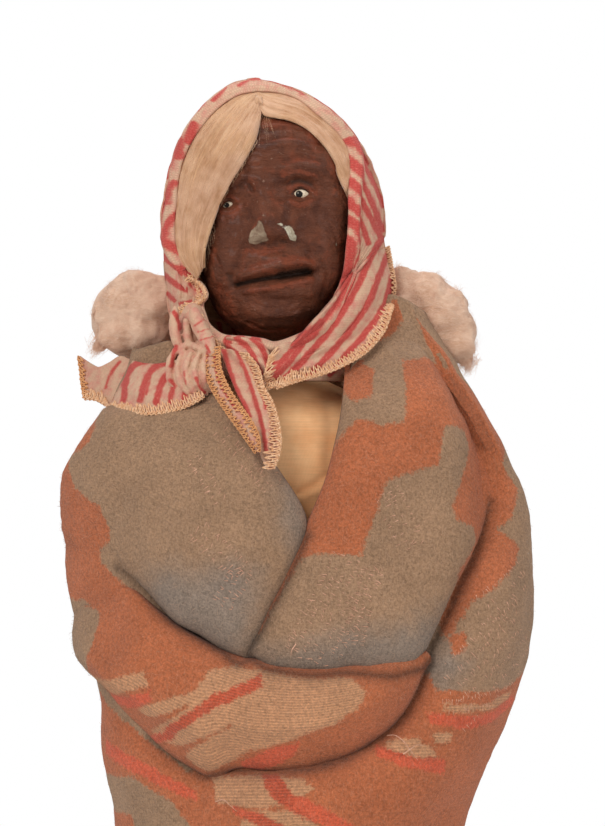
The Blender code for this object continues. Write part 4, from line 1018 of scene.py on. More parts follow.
# lines of painted shade in the carved hollows: the eye creases, the brow, the mouth's corner and the nostrils
headHollows = [
    ([(289, 183), (300, 180), (312, 184)], 3.0, 0.55), ([(240, 186), (248, 184), (252, 190)], 4.0, 0.5),
    ([(228, 274), (232, 284)], 5.0, 0.5), ([(292, 193), (300, 187.5), (309, 191)], 1.4, 0.9),
    ([(261, 243), (264, 244)], 2.4, 0.5), ([(281, 240.5), (285, 241)], 2.4, 0.5),
]
headTable = np.array(headRows, float)
headTable = np.hstack([heightAt(headTable[:, :1]), (headTable[:, 1:3] - axisColumn) * 0.38 * mm, headTable[:, 3:] * mm])
headCurve = smoothLine(headTable, 160)[::-1]


def headAt(z):
    low, high, front, back = (np.interp(z, headCurve[:, 0], headCurve[:, k]) for k in (1, 2, 3, 4))
    return (low + high) / 2, np.maximum((high - low) / 2, 0.3 * mm), np.maximum(front, 0.5 * mm), back


def headFront(x, z):
    # how far forward the plain head reaches
    centre, wide, front, back = headAt(z)
    across = np.clip(np.abs(x - centre) / wide, 0, 0.985)
    square = headSet["square"]
    return spineBack - front * (1 - across**square) ** (1 / square)


def makeHead():
    bm = bmesh.new()
    bmesh.ops.create_uvsphere(bm, u_segments=headSet["around"], v_segments=headSet["rings"], radius=1)
    ball = np.array([v.co for v in bm.verts])
    level = 0.5 + np.arcsin(np.clip(ball[:, 2], -1, 1)) / math.pi
    z = np.interp(level, np.linspace(0, 1, len(headCurve)), headCurve[:, 0])
    angle = np.arctan2(ball[:, 0], -ball[:, 1])
    centre, wide, front, back = headAt(z)
    power = np.where(np.cos(angle) > 0, 2 / headSet["square"], 1.0)
    pole = np.hypot(ball[:, 0], ball[:, 1]) > 1e-4
    x = centre + wide * np.sign(np.sin(angle)) * np.abs(np.sin(angle)) ** power * pole
    deep = np.where(np.cos(angle) > 0, front, back)
    y = spineBack - deep * np.sign(np.cos(angle)) * np.abs(np.cos(angle)) ** power * pole
    points = np.stack([x, y, z], axis=-1)
    for vert, point in zip(bm.verts, points):
        vert.co = point
    bm.normal_update()
    normals = np.array([v.normal for v in bm.verts])
    picture = toPicture(points)
    front = np.clip(-normals[:, 1] * 2.2, 0, 1)
    rise = np.zeros(len(points))
    for column, row, wide, high, height in headSwells:
        rise += height * spotShare(picture, column, row, wide, high)
    for line, wide, height in headLines:
        rise += height * lineShare(picture, line, wide, 40)
    rise *= front * 1.6
    cuts = ripple(points * (0.45, 0.8, 1.5), 3.6 * mm, 0.5, 3) + ripple(points * (0.6, 1, 1.4), 8 * mm, 0.7, 2)
    pits = 0.14 - np.abs(ripple(points, 2.6 * mm, 0.5, 6))
    rise += ripple(points, 16 * mm, 0.7, 1) * 0.6 + cuts * 1.1 + pits
    lean = front[:, None] * 0.6
    points = points + unit(normals * (1 - lean) + np.array([0.0, -1.0, 0.0]) * lean) * rise[:, None] * mm
    # the neck's bore
    under = (np.hypot(points[:, 0] + 8 * mm, points[:, 1] - spineBack) < 7.5 * mm) & (points[:, 2] < 352 * mm)
    points[under, 2] += 4 * mm
    for vert, point in zip(bm.verts, points):
        vert.co = point
    wear = np.max([amount * spotShare(picture, *spot) for *spot, amount in wearSpots], axis=0)
    wear = np.max([wear] + [amount * lineShare(picture, line, wide, 24) for line, wide, amount in wearLines], axis=0)
    addLayer(bm, "wear", np.where(normals[:, 1] < 0.1, wear, 0.4))
    for key, shapes in headChips.items():
        depth = np.max([patchDepth(np.array(shape, float), picture) for shape in shapes], axis=0)
        addLayer(bm, key, np.where(normals[:, 1] < 0, np.clip(depth, -9, 9), -9))
    # painted shade in the mouth's slit and the carved hollows
    slit = [lineShare(picture, mouthLine, 2.5, 40), lineShare(picture, mouthWide, 4.4, 30)]
    slit += [amount * lineShare(picture, line, wide, 20) for line, wide, amount in headHollows]
    addLayer(bm, "hollow", np.where(normals[:, 1] < 0, np.max(slit, axis=0), 0))
    return addPiece("carvedHead", bm, appleSkin, "head")


def makeAppleSkin():
    material, tree, place = newMaterial("appleSkin", 0.5, 0.0, 0.16, **{"Coat Weight": 0.1, "Coat Roughness": 0.28})
    layers = {key: attributeOf(tree, key) for key in ("wear", "chip", "paleChip", "hollow")}
    cloud = noiseOf(tree, place, 85, 5, 0.62, 0.8)
    patch = noiseOf(tree, place, 240, 6, 0.68, 0.6)
    stroke = grainOf(tree, place, (260, 260, 900), 4, 0.65, 0.5, (0.0, 0.25, 0.0))
    scratch = grainOf(tree, place, (240, 900, 2400), 3, 0.6, 0.3, (0.1, 0.35, 0.2))
    rubbed = layers["wear"]
    for cause, gain in ((patch, 2.1), (stroke, 0.5), (cloud, 0.9)):
        rubbed = spread(tree, cause, gain, rubbed)
    dark = toned(tree, cloud, 0.4, 0.6, colour(80, 41, 26), colour(112, 62, 41))
    dark = toned(tree, stroke, 0.35, 0.65, dark, colour(98, 56, 38), 0.35)
    red = toned(tree, patch, 0.35, 0.65, colour(106, 52, 34), colour(134, 68, 44))
    base = toned(tree, rubbed, 0.1, 0.85, dark, red, 0.92, True)
    dust = times(tree, rangeOf(tree, scratch, 0.58, 0.76, 0, 0.3), rangeOf(tree, cloud, 0.4, 0.56, 0.25, 1))
    base = blendColour(tree, dust, base, colour(164, 114, 90))
    base = toned(tree, noiseOf(tree, place, 620, 2, 0.5), 0.70, 0.76, base, colour(186, 146, 124), 0.4)
    chips = []
    for key, first, second in (
        ("chip", colour(128, 100, 80), colour(168, 146, 122)),
        ("paleChip", colour(176, 160, 134), colour(216, 208, 186)),
    ):
        chips.append(rangeOf(tree, spread(tree, patch, 5.0, layers[key]), -0.4, 0.5, 0, 1, True))
        base = blendColour(tree, chips[-1], base, toned(tree, patch, 0.38, 0.6, first, second))
    # painted shade darkens the carved hollows
    base = toned(tree, layers["hollow"], 0.15, 0.75, base, colour(46, 32, 24), 0.86, True)
    chipped = arithmetic(tree, "MAXIMUM", *chips)
    rough = addTimes(tree, chipped, 0.3, rangeOf(tree, patch, 0.3, 0.7, 0.4, 0.62))
    height = addTimes(tree, patch, 1.6, times(tree, noiseOf(tree, place, 1300, 4, 0.7), 0.3))
    for cause, gain in ((stroke, 0.8), (scratch, 0.3), (chipped, -0.4)):
        height = addTimes(tree, cause, gain, height)
    return coated(material, base, height, 0.001, 1.0, rough)


appleSkin = makeAppleSkin()
carvedHead = makeHead()
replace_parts(carvedHead, "apple_head")

eyeSet = {
    "left": {
        "node": "eye_left", "place": (228, 204.5), "half": (2.1 * mm, 1.4 * mm, 1.25 * mm),
        "pupil": (-0.5 * mm, 0.12 * mm, 0.95 * mm), "turn": 20,
    },
    "right": {
        "node": "eye_right", "place": (300, 194.5), "half": (3.3 * mm, 1.7 * mm, 2.0 * mm),
        "pupil": (-0.3 * mm, 0.2 * mm, 1.35 * mm), "turn": 6,
    },
}


def makeEyePaint():
    material, tree, place = newMaterial("eyePaint", 0.6, 0.0, 0.15)
    grain = noiseOf(tree, place, 1300, 4, 0.7)
    white = toned(tree, grain, 0.35, 0.65, colour(196, 172, 142), colour(236, 222, 198))
    edge = spread(tree, grain, 0.35, attributeOf(tree, "pupil"))
    base = toned(tree, edge, 0.94, 1.06, colour(22, 17, 15), white)
    base = toned(tree, attributeOf(tree, "glint"), 0.0, 0.2, base, colour(214, 206, 192))
    return coated(material, base, grain, 0.0002, 0.6)


eyePaint = makeEyePaint()


def makeEye(side):
    given = eyeSet[side]
    # the eye is set in the head where the picture shows it
    x, _, z = spotAt(*given["place"], -0.02)
    hit = headTree.ray_cast(Vector((x, -0.2, z)), Vector((0, 1, 0)))[0]
    centre = Vector((x, hit.y + given["half"][1] * 0.42, z))
    bm = bmesh.new()
    bmesh.ops.create_uvsphere(bm, u_segments=64, v_segments=40, radius=1)
    pupil, glint = [], []
    for vert in bm.verts:
        x, y, z = vert.co
        wide, high = x * given["half"][0] - given["pupil"][0], z * given["half"][2] - given["pupil"][1]
        pupil.append(math.hypot(wide, high) / given["pupil"][2] if y < 0 else 3)
        glint.append(0.28 - math.hypot(wide + 0.35 * mm, high - 0.5 * mm) / mm if y < 0 else -1)
        vert.co = (x, y, z * (1 - 0.4 * abs(x) ** 3))
    addLayer(bm, "pupil", pupil)
    addLayer(bm, "glint", glint)
    bmesh.ops.scale(bm, vec=given["half"], verts=bm.verts)
    bm.transform(Matrix.Translation(centre) @ Matrix.Rotation(math.radians(-given["turn"]), 4, "Y"))
    eye = addPiece(side + "Eye", bm, eyePaint, "head")
    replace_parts(eye, given["node"])


headTree = treeOf(carvedHead)
makeEye("left")
makeEye("right")
print("head and eyes made")

# Cloth and hair laid by the picture, with a depth of its own

hoodRows = [  # share of the height, centre shift, half width and half depth as shares
    (0.0, 0.02, 0.53, 0.86), (0.07, -0.02, 0.72, 0.92), (0.14, -0.04, 0.87, 0.96), (0.21, 0.0, 0.955, 0.985),
    (0.3, 0.01, 1.0, 1.0), (0.38, -0.02, 1.0, 1.0), (0.47, -0.045, 0.975, 1.0), (0.6, -0.035, 0.94, 0.97),
    (0.72, -0.067, 0.853, 0.9), (0.82, -0.1, 0.73, 0.79), (0.9, -0.13, 0.565, 0.63), (0.965, -0.21, 0.3, 0.36),
    (1.0, -0.23, 0.06, 0.07),
]
hoodTable = np.array(smoothLine(hoodRows, 120))


def hoodAt(z):
    share = np.clip((z - 322 * mm) / (115 * mm), 0, 1)
    shift, wide, deep = (np.interp(share, hoodTable[:, 0], hoodTable[:, k]) for k in (1, 2, 3))
    return (-8 + shift * 43) * mm, wide * 43 * mm, deep * 38 * mm


hoodOpening = [  # traced round the face and hair
    (257, 89), (236, 93), (215, 106), (197, 126), (184, 148), (176, 172), (172, 200), (170, 225), (172, 246),
    (184, 268), (195, 280), (199, 294), (200, 310), (207, 327), (222, 338), (244, 340), (262, 342), (274, 345),
    (290, 341), (312, 331), (326, 318), (338, 298), (347, 274), (351, 245), (353, 215), (353, 190), (355, 170),
    (352, 148), (341, 131), (322, 114), (300, 98), (277, 91),
]
openingRing = smoothLine(hoodOpening + hoodOpening[:1], 130)


def hairFront(x, z, thick):
    # the hair lies on the head, and fills the scarf beside it
    centre, wide, deep = hoodAt(z)
    across = np.clip((x - centre) / wide, -0.995, 0.995)
    inner = spineBack - 0.8 * mm - np.maximum(deep - 5 * mm, 1 * mm) * np.sqrt(1 - across**2)
    over = headFront(x, z) - thick
    soft = 1.4 * mm
    return -soft * np.log(np.exp(-over / soft) + np.exp(-inner / soft))


def hoodDepth(x, z, lift=0.0):
    # how far forward the headscarf's front lies: it draws in toward the face at its opening
    centre, wide, deep = hoodAt(z)
    across = np.clip((x - centre) / (wide + lift), -0.995, 0.995)
    plain = spineBack - 0.8 * mm - (deep + lift) * np.sqrt(1 - across**2)
    picture = toPicture(np.stack([x, plain, z], axis=-1))
    near = np.exp(-((farFrom(openingRing, picture) / 13) ** 2))
    high = np.clip((300 - picture[:, 1]) / 60, 0, 1)
    snug = hairFront(x, z, 3.4 * mm) * high + headFront(x, z) * (1 - high) - 1.2 * mm - lift
    low = np.clip((z - 345 * mm) / (12 * mm), 0, 1)
    draw = np.clip(snug - plain, 0, 3 * mm + 9 * mm * low)
    return plain + draw * near


def hoodLaid(picture, lift):
    # places on the headscarf's front for points of the picture
    y = np.full(len(picture), -0.02)
    for _ in range(4):
        points = fromPicture(picture[:, 0], picture[:, 1], y)
        y = hoodDepth(points[:, 0], points[:, 2], lift)
    return fromPicture(picture[:, 0], picture[:, 1], y)


def wrapDepth(x, z):
    reach = rowsAt(z)
    wide = np.where(x < 0, reach[..., 0], reach[..., 1])
    return spineBack - reach[..., 2] * np.sqrt(1 - np.clip(x / wide, -0.98, 0.98) ** 2)


def bothLaid(picture, lift):
    # on the headscarf, or on the blanket's collar where that stands further out
    y = np.full(len(picture), -0.02)
    for _ in range(4):
        points = fromPicture(picture[:, 0], picture[:, 1], y)
        hood = hoodDepth(points[:, 0], points[:, 2], lift)
        collar = wrapDepth(points[:, 0], points[:, 2]) - 3 * mm + np.clip(points[:, 2] - 348 * mm, 0, 1) * 1.6
        y = -2 * mm * np.log(np.exp(-hood / (2 * mm)) + np.exp(-collar / (2 * mm)))
    return fromPicture(picture[:, 0], picture[:, 1], y)


def wrapLaid(picture, lift):
    angle, z = onWrap(picture[:, 0], picture[:, 1], lift)
    return wrapPoint(angle, z) + wrapNormal(angle, z) * lift


# Striped cotton of the headscarf

cottonSet = {
    "cream": colour(226, 184, 154), "pink": colour(222, 150, 132), "coral": colour(205, 82, 74), "knit": 0.62 * mm,
}


def makeStripedCotton():
    material, tree, place = newMaterial("stripedCotton", 0.9, 0.08, 0.15)
    cloth = clothOf(tree)
    fray = noiseOf(tree, place, 1500, 4, 0.7)
    wander = noiseOf(tree, place, 260, 3, 0.6)
    moved = spread(tree, wander, 1.2, spread(tree, fray, 1.5, attributeOf(tree, "stripe")))
    pale = toned(tree, wander, 0.42, 0.7, cottonSet["cream"], cottonSet["pink"])
    worn = toned(tree, fray, 0.5, 0.75, cottonSet["coral"], cottonSet["pink"], 0.5)
    base = toned(tree, moved, -0.5, 0.4, pale, worn, 1, True)
    grid = times(tree, *(wavesOf(tree, cloth, way, cottonSet["knit"], 1.5, 2, 40) for way in "XY"))
    dim = times(tree, rangeOf(tree, grid, 0, 0.7, 0.84, 1.04), rangeOf(tree, fray, 0.3, 0.7, 0.9, 1.08))
    return coated(material, shadedBy(tree, base, dim), addTimes(tree, fray, 0.6, grid), 0.00018, 0.8)


stripedCotton = makeStripedCotton()
sergeThread = makeThread("sergeThread", colour(222, 164, 118), colour(240, 200, 162))
tanThread = makeThread("tanThread", colour(206, 140, 88), colour(228, 170, 118))


def stripeDepth(strokes, where):
    # how deep in a stripe a point of the picture lies, in mm
    depth = np.full(len(where), -9.0)
    for stroke in strokes:
        points, wide = (stroke[:-1], stroke[-1]) if isinstance(stroke[-1], (int, float)) else (stroke, 6.4)
        far = farFrom(smoothLine(points, 14), where)
        depth = np.maximum(depth, (wide / 2 - far) * 0.38)
    return np.clip(depth, -9, 9)


hoodStrokes = [
    [(197, 124), (192, 134), (188, 142), 4.5], [(186, 140), (182, 150), (180, 158), 4.0],
    [(177, 156), (174, 168), (172, 178), 3.0], [(228, 90), (222, 96), (216, 102), 3.5],
    [(208, 104), (202, 112), 3.0], [(262, 81), (250, 82), (240, 88), 3.0],
    [(175, 182), (172, 192), (170, 204), 3.6], [(168, 204), (166, 218), (165, 230), 3.6],
    [(175, 212), (170, 224), (168, 238), 4.0], [(164, 238), (176, 250), (190, 262), (204, 280), 6.6],
    [(163, 256), (176, 266), (190, 274), (204, 286), 6.4], [(164, 274), (178, 286), (192, 292), 5.4],
    [(168, 294), (178, 304), (188, 308), 4.4], [(168, 320), (175, 332), (180, 346), 5.0],
    [(264, 80), (280, 83), (294, 88), 3.4], [(280, 87), (292, 91), (300, 96), 3.0],
    [(316, 100), (326, 106), (332, 112), 3.4], [(330, 112), (340, 120), (347, 128), 4.4],
    [(342, 124), (350, 132), (358, 142), 4.6], [(350, 140), (360, 152), (366, 164), 5.0],
    [(348, 140), (357, 152), (368, 172), (378, 192), (383, 206), 4.8],
    [(349, 156), (356, 170), (364, 186), (375, 210), (382, 230), 6.2],
    [(348, 176), (354, 187), (363, 203), (372, 220), (382, 240), 6.0],
    [(346, 192), (352, 204), (360, 221), (369, 243), 5.8],
    [(346, 210), (352, 221), (356, 234), (358, 250), (354, 266), 5.6],
    [(347, 232), (351, 246), (348, 264), (344, 282), 5.0],
    [(382, 238), (370, 258), (360, 282), (346, 306), (330, 330), (312, 350), (298, 366), (280, 382), 6.6],
    [(388, 252), (379, 276), (370, 300), (356, 322), (340, 342), (324, 360), (306, 378), 6.2],
    [(392, 276), (386, 300), (374, 322), (356, 344), (340, 362), (330, 374)],
    [(350, 272), (339, 298), (325, 318), (309, 336), (298, 350), (286, 366), (272, 380), 6.2],
    [(320, 322), (302, 338), (288, 354), (276, 370)], [(238, 336), (250, 350), (260, 366), (264, 380)],
    [(254, 338), (264, 352), (270, 372)], [(228, 340), (242, 360), (250, 380)],
]
hoodSet = {"columns": 300, "rows": 190, "thickness": 1.1 * mm, "low": 322.5 * mm, "high": 436.6 * mm}


def hoodStripes(angle, z, picture):
    run = (angle * 40 + (z / mm) * 0.35 * np.sign(np.sin(angle))) % 6.6
    return np.where(np.cos(angle) > 0.02, stripeDepth(hoodStrokes, picture), 1.0 - np.abs(run - 3.3))


def makeHood():
    gone = []

    def place(u, v):
        angle = (u - 0.5) * 2 * math.pi
        # rows crowd toward the crown
        share = 1 - (1 - v) ** 1.35
        z = hoodSet["low"] + share * (hoodSet["high"] - hoodSet["low"])
        centre, wide, deep = hoodAt(z)
        x = centre + wide * np.sin(angle)
        y = spineBack - 0.8 * mm - deep * np.cos(angle)
        points = np.stack([x, np.where(np.cos(angle) > 0, hoodDepth(x, z), y), z], axis=-1)
        out = [np.sin(angle) * 0.9, -np.cos(angle) * 0.9, np.clip(share - 0.6, 0, 1) * 1.6]
        lift = ripple(points, 15 * mm, 0.9 * mm, 11) + ripple(points, 5 * mm, 0.25 * mm, 12)
        low = np.clip((352 * mm - z) / (30 * mm), 0, 1)
        lift += low * 1.1 * mm * np.sin(angle * 19 + 2.2 * np.sin(angle * 3))
        back = np.clip(-np.cos(angle) * 1.5, 0, 1)
        lift += back * 1.2 * mm * np.sin(angle * 9 + z * 60) * (0.3 + low)
        front = np.cos(angle) > 0.02
        far = farFrom(openingRing, toPicture(points))
        lift *= np.where(front, np.clip(far / 12, 0, 1), 1)
        points = points + unit(np.stack(out, axis=-1)) * lift[:, None]
        picture = toPicture(points)
        gone.append(front & (insideOf(openingRing, picture) | (far < 5.5)))
        return points, {"stripe": hoodStripes(angle, z, picture)}

    piece = gridCloth(
        "headscarf", hoodSet["columns"], hoodSet["rows"], place, (0.24, 0.14), stripedCotton, hoodSet["thickness"],
        True, lambda u, v: gone[0], "head",
    )
    bm = bmesh.new()
    bm.from_mesh(piece.data)
    top = [e for e in bm.edges if e.is_boundary and min(v.co.z for v in e.verts) > hoodSet["high"] - 0.6 * mm]
    if top:
        bmesh.ops.contextual_create(bm, geom=top)
    bm.to_mesh(piece.data)
    bm.free()
    return piece


def makeRim():
    # the turned edge round the face: rolled under at its inner side and laid on the scarf outside
    columns, rows = 360, 16
    ring = smoothLine(hoodOpening + hoodOpening[:1], columns + 1)
    outward = unit(np.stack([-np.gradient(ring[:, 1]), np.gradient(ring[:, 0])], axis=-1))
    outward *= -1 if insideOf(ring[:-1], ring[:1] + outward[:1] * 3)[0] else 1

    def place(u, v):
        i = np.rint(u * columns).astype(int) % columns
        wave = 1 + 0.16 * np.sin(u * 10 * math.pi) + 0.1 * np.sin(u * 18 * math.pi + 1)
        picture = ring[i] + outward[i] * ((v - 0.18) * 11.5 * wave)[:, None]
        rise = (np.sin(np.clip(v / 0.45, 0, 1) * math.pi / 2) * 2.6 - 1.3 - 2.3 * np.clip((v - 0.45) / 0.55, 0, 1)) * mm
        points = hoodLaid(picture, 0)
        centre = hoodAt(points[:, 2])[0]
        out = [(points[:, 0] - centre) / (45 * mm), (points[:, 1] - spineBack) / (38 * mm), np.zeros(len(points))]
        points = points + unit(np.stack(out, axis=-1)) * (rise + ripple(points, 4 * mm, 0.3 * mm, 17))[:, None]
        return points, {"stripe": stripeDepth(hoodStrokes, picture)}

    gridCloth("scarfRim", columns, rows, place, (0.18, 0.004), stripedCotton, 0.9 * mm, True, body="head")


headscarf = makeHood()
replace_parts(headscarf, "scarf_hood")
makeRim()

# Smaller sheets of the scarf, each between four traced edges; v runs from the free edge inward

scarfSet = {
    "scarfOver": {
        "bottom": [(350, 132), (364, 150), (375, 172), (383, 200), (385, 236), (372, 252), (358, 268), (344, 284),
            (330, 302), (312, 324), (296, 342), (280, 352)],
        "top": [(341, 131), (352, 148), (355, 170), (354, 190), (354, 215), (352, 245), (347, 276), (338, 300),
            (326, 320), (312, 334), (292, 346), (276, 351)],
        "grid": (170, 30), "lift": (2.0, 0.7), "on": "hood", "pleats": (7, 0.45), "size": (0.105, 0.022),
        "strokes": hoodStrokes,
    },
    "scarfHem": {
        "bottom": [(388, 246), (391, 262), (394, 284), (393, 302), (384, 330), (369, 349), (350, 362), (325, 373),
            (300, 380), (276, 388)],
        "top": [(380, 250), (376, 266), (372, 286), (364, 308), (352, 326), (338, 338), (322, 348), (304, 357),
            (290, 362), (278, 366)],
        "grid": (170, 36), "lift": (2.2, 0.6), "on": "both", "pleats": (2.2, 0.5), "size": (0.08, 0.0135),
        "strokes": hoodStrokes + [[(396, 300), (386, 322), (372, 344), (362, 354), 4.6]],
    },
    "scarfGather": {
        "bottom": [(190, 274), (199, 288), (201, 297), (199, 306), (204, 320), (211, 334), (220, 345), (232, 354)],
        "top": [(168, 250), (166, 275), (167, 300), (171, 322), (175, 340), (180, 352), (190, 360), (204, 362)],
        "grid": (130, 56), "lift": (2.6, 0.5), "on": "hood", "pleats": (4.5, 1.5), "size": (0.05, 0.03),
        "strokes": hoodStrokes + [[(178, 344), (176, 354), (173, 366), 3.6]],
    },
    "neckRuffle": {
        "bottom": [(188, 277), (200, 283), (206, 292), (204, 300), (196, 305), (187, 308), (180, 314)],
        "top": [(181, 284), (185, 289), (188, 293), (187, 296), (183, 298), (178, 300), (172, 305)],
        "grid": (80, 36), "lift": (4.6, 2.4), "on": "hood", "pleats": (1, 0.4), "size": (0.022, 0.009),
        "waves": (3.0, 0.9), "strokes": [[(190, 284), (203, 292), 4.0], [(180, 303), (196, 300), 3.0]],
    },
    "chinFold": {
        "bottom": [(226, 352), (240, 362), (252, 374), (264, 388)],
        "top": [(226, 337), (244, 337), (262, 343), (273, 364)], "grid": (60, 30), "lift": (4.5, 2.2), "on": "hood",
        "pleats": (2, 0.9), "size": (0.018, 0.008),
        "strokes": [[(236, 337), (250, 350), (262, 376), 5.6], [(250, 336), (263, 350), (270, 372), 5.6],
            [(226, 344), (240, 358), (252, 378), 5.2]],
    },
    "chinTie": {
        "bottom": [(261, 392), (272, 387), (286, 382), (302, 378)],
        "top": [(270, 354), (278, 345), (288, 342), (302, 344)], "grid": (50, 40), "lift": (5.0, 3.2), "on": "hood",
        "pleats": (2, 0.9), "size": (0.016, 0.014), "flush": 0.9,
        "strokes": hoodStrokes + [[(272, 364), (284, 360), 3.4]],
    },
    "sideTail": {
        "bottom": [(204, 396), (196, 401), (184, 407), (168, 412), (150, 414), (130, 413), (112, 408), (96, 400),
            (84, 399)],
        "top": [(186, 352), (176, 360), (160, 363), (146, 363), (132, 360), (120, 356), (108, 363), (98, 367),
            (88, 363), (77, 356)],
        "grid": (150, 60), "lift": (9.6, 7.0), "on": "wrap", "pleats": (2.2, 0.9), "size": (0.055, 0.026),
        "waves": (2.6, 1.2), "crown": 4.2,
        "strokes": [[(166, 362), (154, 368), (146, 380), (140, 400), 6.6], [(148, 360), (134, 366), (127, 378),
            (124, 400), 6.6], [(180, 366), (168, 374), (160, 388), (156, 402), 6.6], [(186, 376), (174, 386),
            (170, 402), 5.0], [(194, 378), (186, 390), (184, 402), 4.6], [(120, 362), (110, 376), (106, 388), 3.0],
            [(152, 366), (150, 380), (146, 394), 2.4]],
    },
    "wideTail": {
        "bottom": [(246, 352), (258, 368), (263, 386), (272, 402), (278, 422), (280, 440), (278, 455), (273, 469)],
        "top": [(218, 348), (228, 372), (236, 392), (246, 412), (255, 434), (263, 456), (270, 469)],
        "grid": (120, 36), "lift": (12.5, 11.5), "on": "wrap", "pleats": (2, 0.7), "size": (0.05, 0.0126),
        "start": 2.0,
        "strokes": [[(224, 350), (230, 372), (238, 392), (250, 416), 4.6], [(236, 350), (246, 372), (254, 396),
            (262, 424), (266, 450), 4.2], [(248, 360), (258, 384), (266, 408), 2.4]],
    },
    "narrowTail": {
        "bottom": [(219, 346), (220, 368), (228, 388), (239, 405), (250, 420), (258, 436), (259, 452)],
        "top": [(202, 348), (205, 370), (214, 392), (227, 412), (240, 430), (250, 444), (256, 453)],
        "grid": (100, 26), "lift": (15.5, 14.0), "on": "wrap", "pleats": (1, 0.2), "size": (0.044, 0.007),
        "crown": 1.9, "start": 3.2, "strokes": [[(214, 350), (218, 380), (236, 410), 2.0]],
    },
}
made = {}


def makeScarfSheet(name):
    given = scarfSet[name]
    columns, rows = given["grid"]
    lines = edgeLines({key: given[key] for key in ("bottom", "top")}, columns, rows)
    laid = {"hood": hoodLaid, "wrap": wrapLaid, "both": bothLaid}[given["on"]]

    def place(u, v):
        where = between(lines, columns, rows, u, v)
        free, far = given["lift"]
        pleats, high = given["pleats"]
        lift = free + (far - free) * v
        lift = lift + high * np.cos(v * pleats * 2 * math.pi + 1.4 * np.sin(u * 5))
        lift = lift + given.get("crown", 0) * np.sin(v * math.pi)
        lift = lift * (1 - given.get("flush", 0) * u**3) + given.get("start", 0) * (1 - u) ** 2
        count, tall = given.get("waves", (0, 0))
        lift = lift + tall * np.sin(u * count * 2 * math.pi + v * 1.5) * (1 - v * 0.6)
        points = laid(where, 0)
        if given["on"] == "wrap":
            normal = wrapNormal(*onWrap(where[:, 0], where[:, 1]))
        else:
            x, y, z = points.T
            normal = np.stack([(x - hoodAt(z)[0]) / 0.045, (y - spineBack) / 0.04, np.zeros(len(points))], axis=-1)
        normal = unit(normal)
        points = points + normal * (lift * mm)[:, None]
        # leaning out brings the sheet back over its traced place
        shift = where - toPicture(points)
        points[:, 0] += shift[:, 0] * 0.37 * mm
        points[:, 2] -= shift[:, 1] * 0.37 * mm
        points += normal * (ripple(points, 4 * mm, 0.35 * mm, 21))[:, None]
        made[name] = (points, u, v)
        return points, {"stripe": stripeDepth(given["strokes"], where)}

    body = None if given["on"] == "wrap" else "head"
    return gridCloth(name, columns, rows, place, given["size"], stripedCotton, 1.0 * mm, body=body)


for sheetName in scarfSet:
    made[sheetName + "Piece"] = makeScarfSheet(sheetName)
print("headscarf sheets made")

# Overlocked edges: a thread that loops over the edge, and a cord of locked loops along it

sergeSet = {"stitch": 1.9 * mm, "thread": 0.27 * mm, "cord": 0.36 * mm}


def threadMesh(bm, path, radius, sides=5):
    # a thin tube of skin along a line of points
    path = np.asarray(path, float)
    ahead = np.gradient(path, axis=0)
    ahead /= np.maximum(np.linalg.norm(ahead, axis=1, keepdims=True), 1e-9)
    ring = bmesh.ops.create_circle(bm, cap_ends=False, segments=sides, radius=radius)["verts"]
    last = None
    side = Vector((0, 0, 1))
    for i, (point, way) in enumerate(zip(path, ahead)):
        way = Vector(way)
        side = (side - way * side.dot(way))
        side = side.normalized() if side.length > 1e-4 else way.orthogonal().normalized()
        across = way.cross(side)
        if i == 0:
            verts = ring
        else:
            verts = [bm.verts.new((0, 0, 0)) for _ in range(sides)]
        taper = 0.35 if i in (0, len(path) - 1) else 1.0
        for k, vert in enumerate(verts):
            turn = 2 * math.pi * k / sides
            vert.co = Vector(point) + (side * math.cos(turn) + across * math.sin(turn)) * radius * taper
        if last:
            for k in range(sides):
                bm.faces.new((last[k], last[(k + 1) % sides], verts[(k + 1) % sides], verts[k]))
        else:
            bm.faces.new(list(reversed(verts)))
        last = verts
    bm.faces.new(last)


def edgeFrames(name, edge):
    # points along a sheet's edge with the ways inward and out of the cloth
    points, u, v = made[name]
    columns, rows = scarfSet[name]["grid"]
    order = np.lexsort((np.rint(u * columns), np.rint(v * rows)))
    grid = points[order].reshape(rows + 1, columns + 1, 3)
    if edge in ("left", "right"):
        grid = grid.transpose(1, 0, 2)
    line, inner = (grid[0], grid[6]) if edge in ("bottom", "left") else (grid[-1], grid[-7])
    inward = unit(inner - line)
    out = unit(np.cross(np.gradient(line, axis=0), inward))
    return line, inward, out * np.where(out[:, 1:2] > 0, -1, 1)


def sergeLine(bm, line, inward, out, reach):
    # looping thread, the thread behind it and the cord that locks both
    lengths = np.concatenate([[0], np.cumsum(np.linalg.norm(np.diff(line, axis=0), axis=1))])
    fine = max(int(lengths[-1] / sergeSet["stitch"]), 3) * 8
    at = np.linspace(0, lengths[-1], fine)
    edge, way, lift = (
        np.stack([np.interp(at, lengths, part[:, k]) for k in range(3)], axis=-1) for part in (line, inward, out)
    )
    phase = np.arange(fine) / 8.0
    turn = phase * 2 * math.pi
    jitter = 1 + 0.18 * np.sin(phase * 2.3) + 0.12 * np.sin(phase * 5.1 + 1)
    swing = (1 - np.cos(turn)) / 2
    thread, cord, up = sergeSet["thread"], sergeSet["cord"], 0.25 * mm * np.sin(turn * 2)
    for inside, rise, radius in (
        (swing * reach * jitter - 0.25 * mm, 0.45 * mm + up, thread),
        (((1 - swing) * reach * 0.55) * jitter - 0.25 * mm, np.full(fine, 0.55 * mm), thread * 0.85),
        (-(0.3 * mm + 0.2 * mm * np.sin(turn * 2)), 0.35 * mm * np.cos(turn) + 0.1 * mm, cord),
    ):
        threadMesh(bm, edge + way * inside[:, None] + lift * rise[:, None], radius)


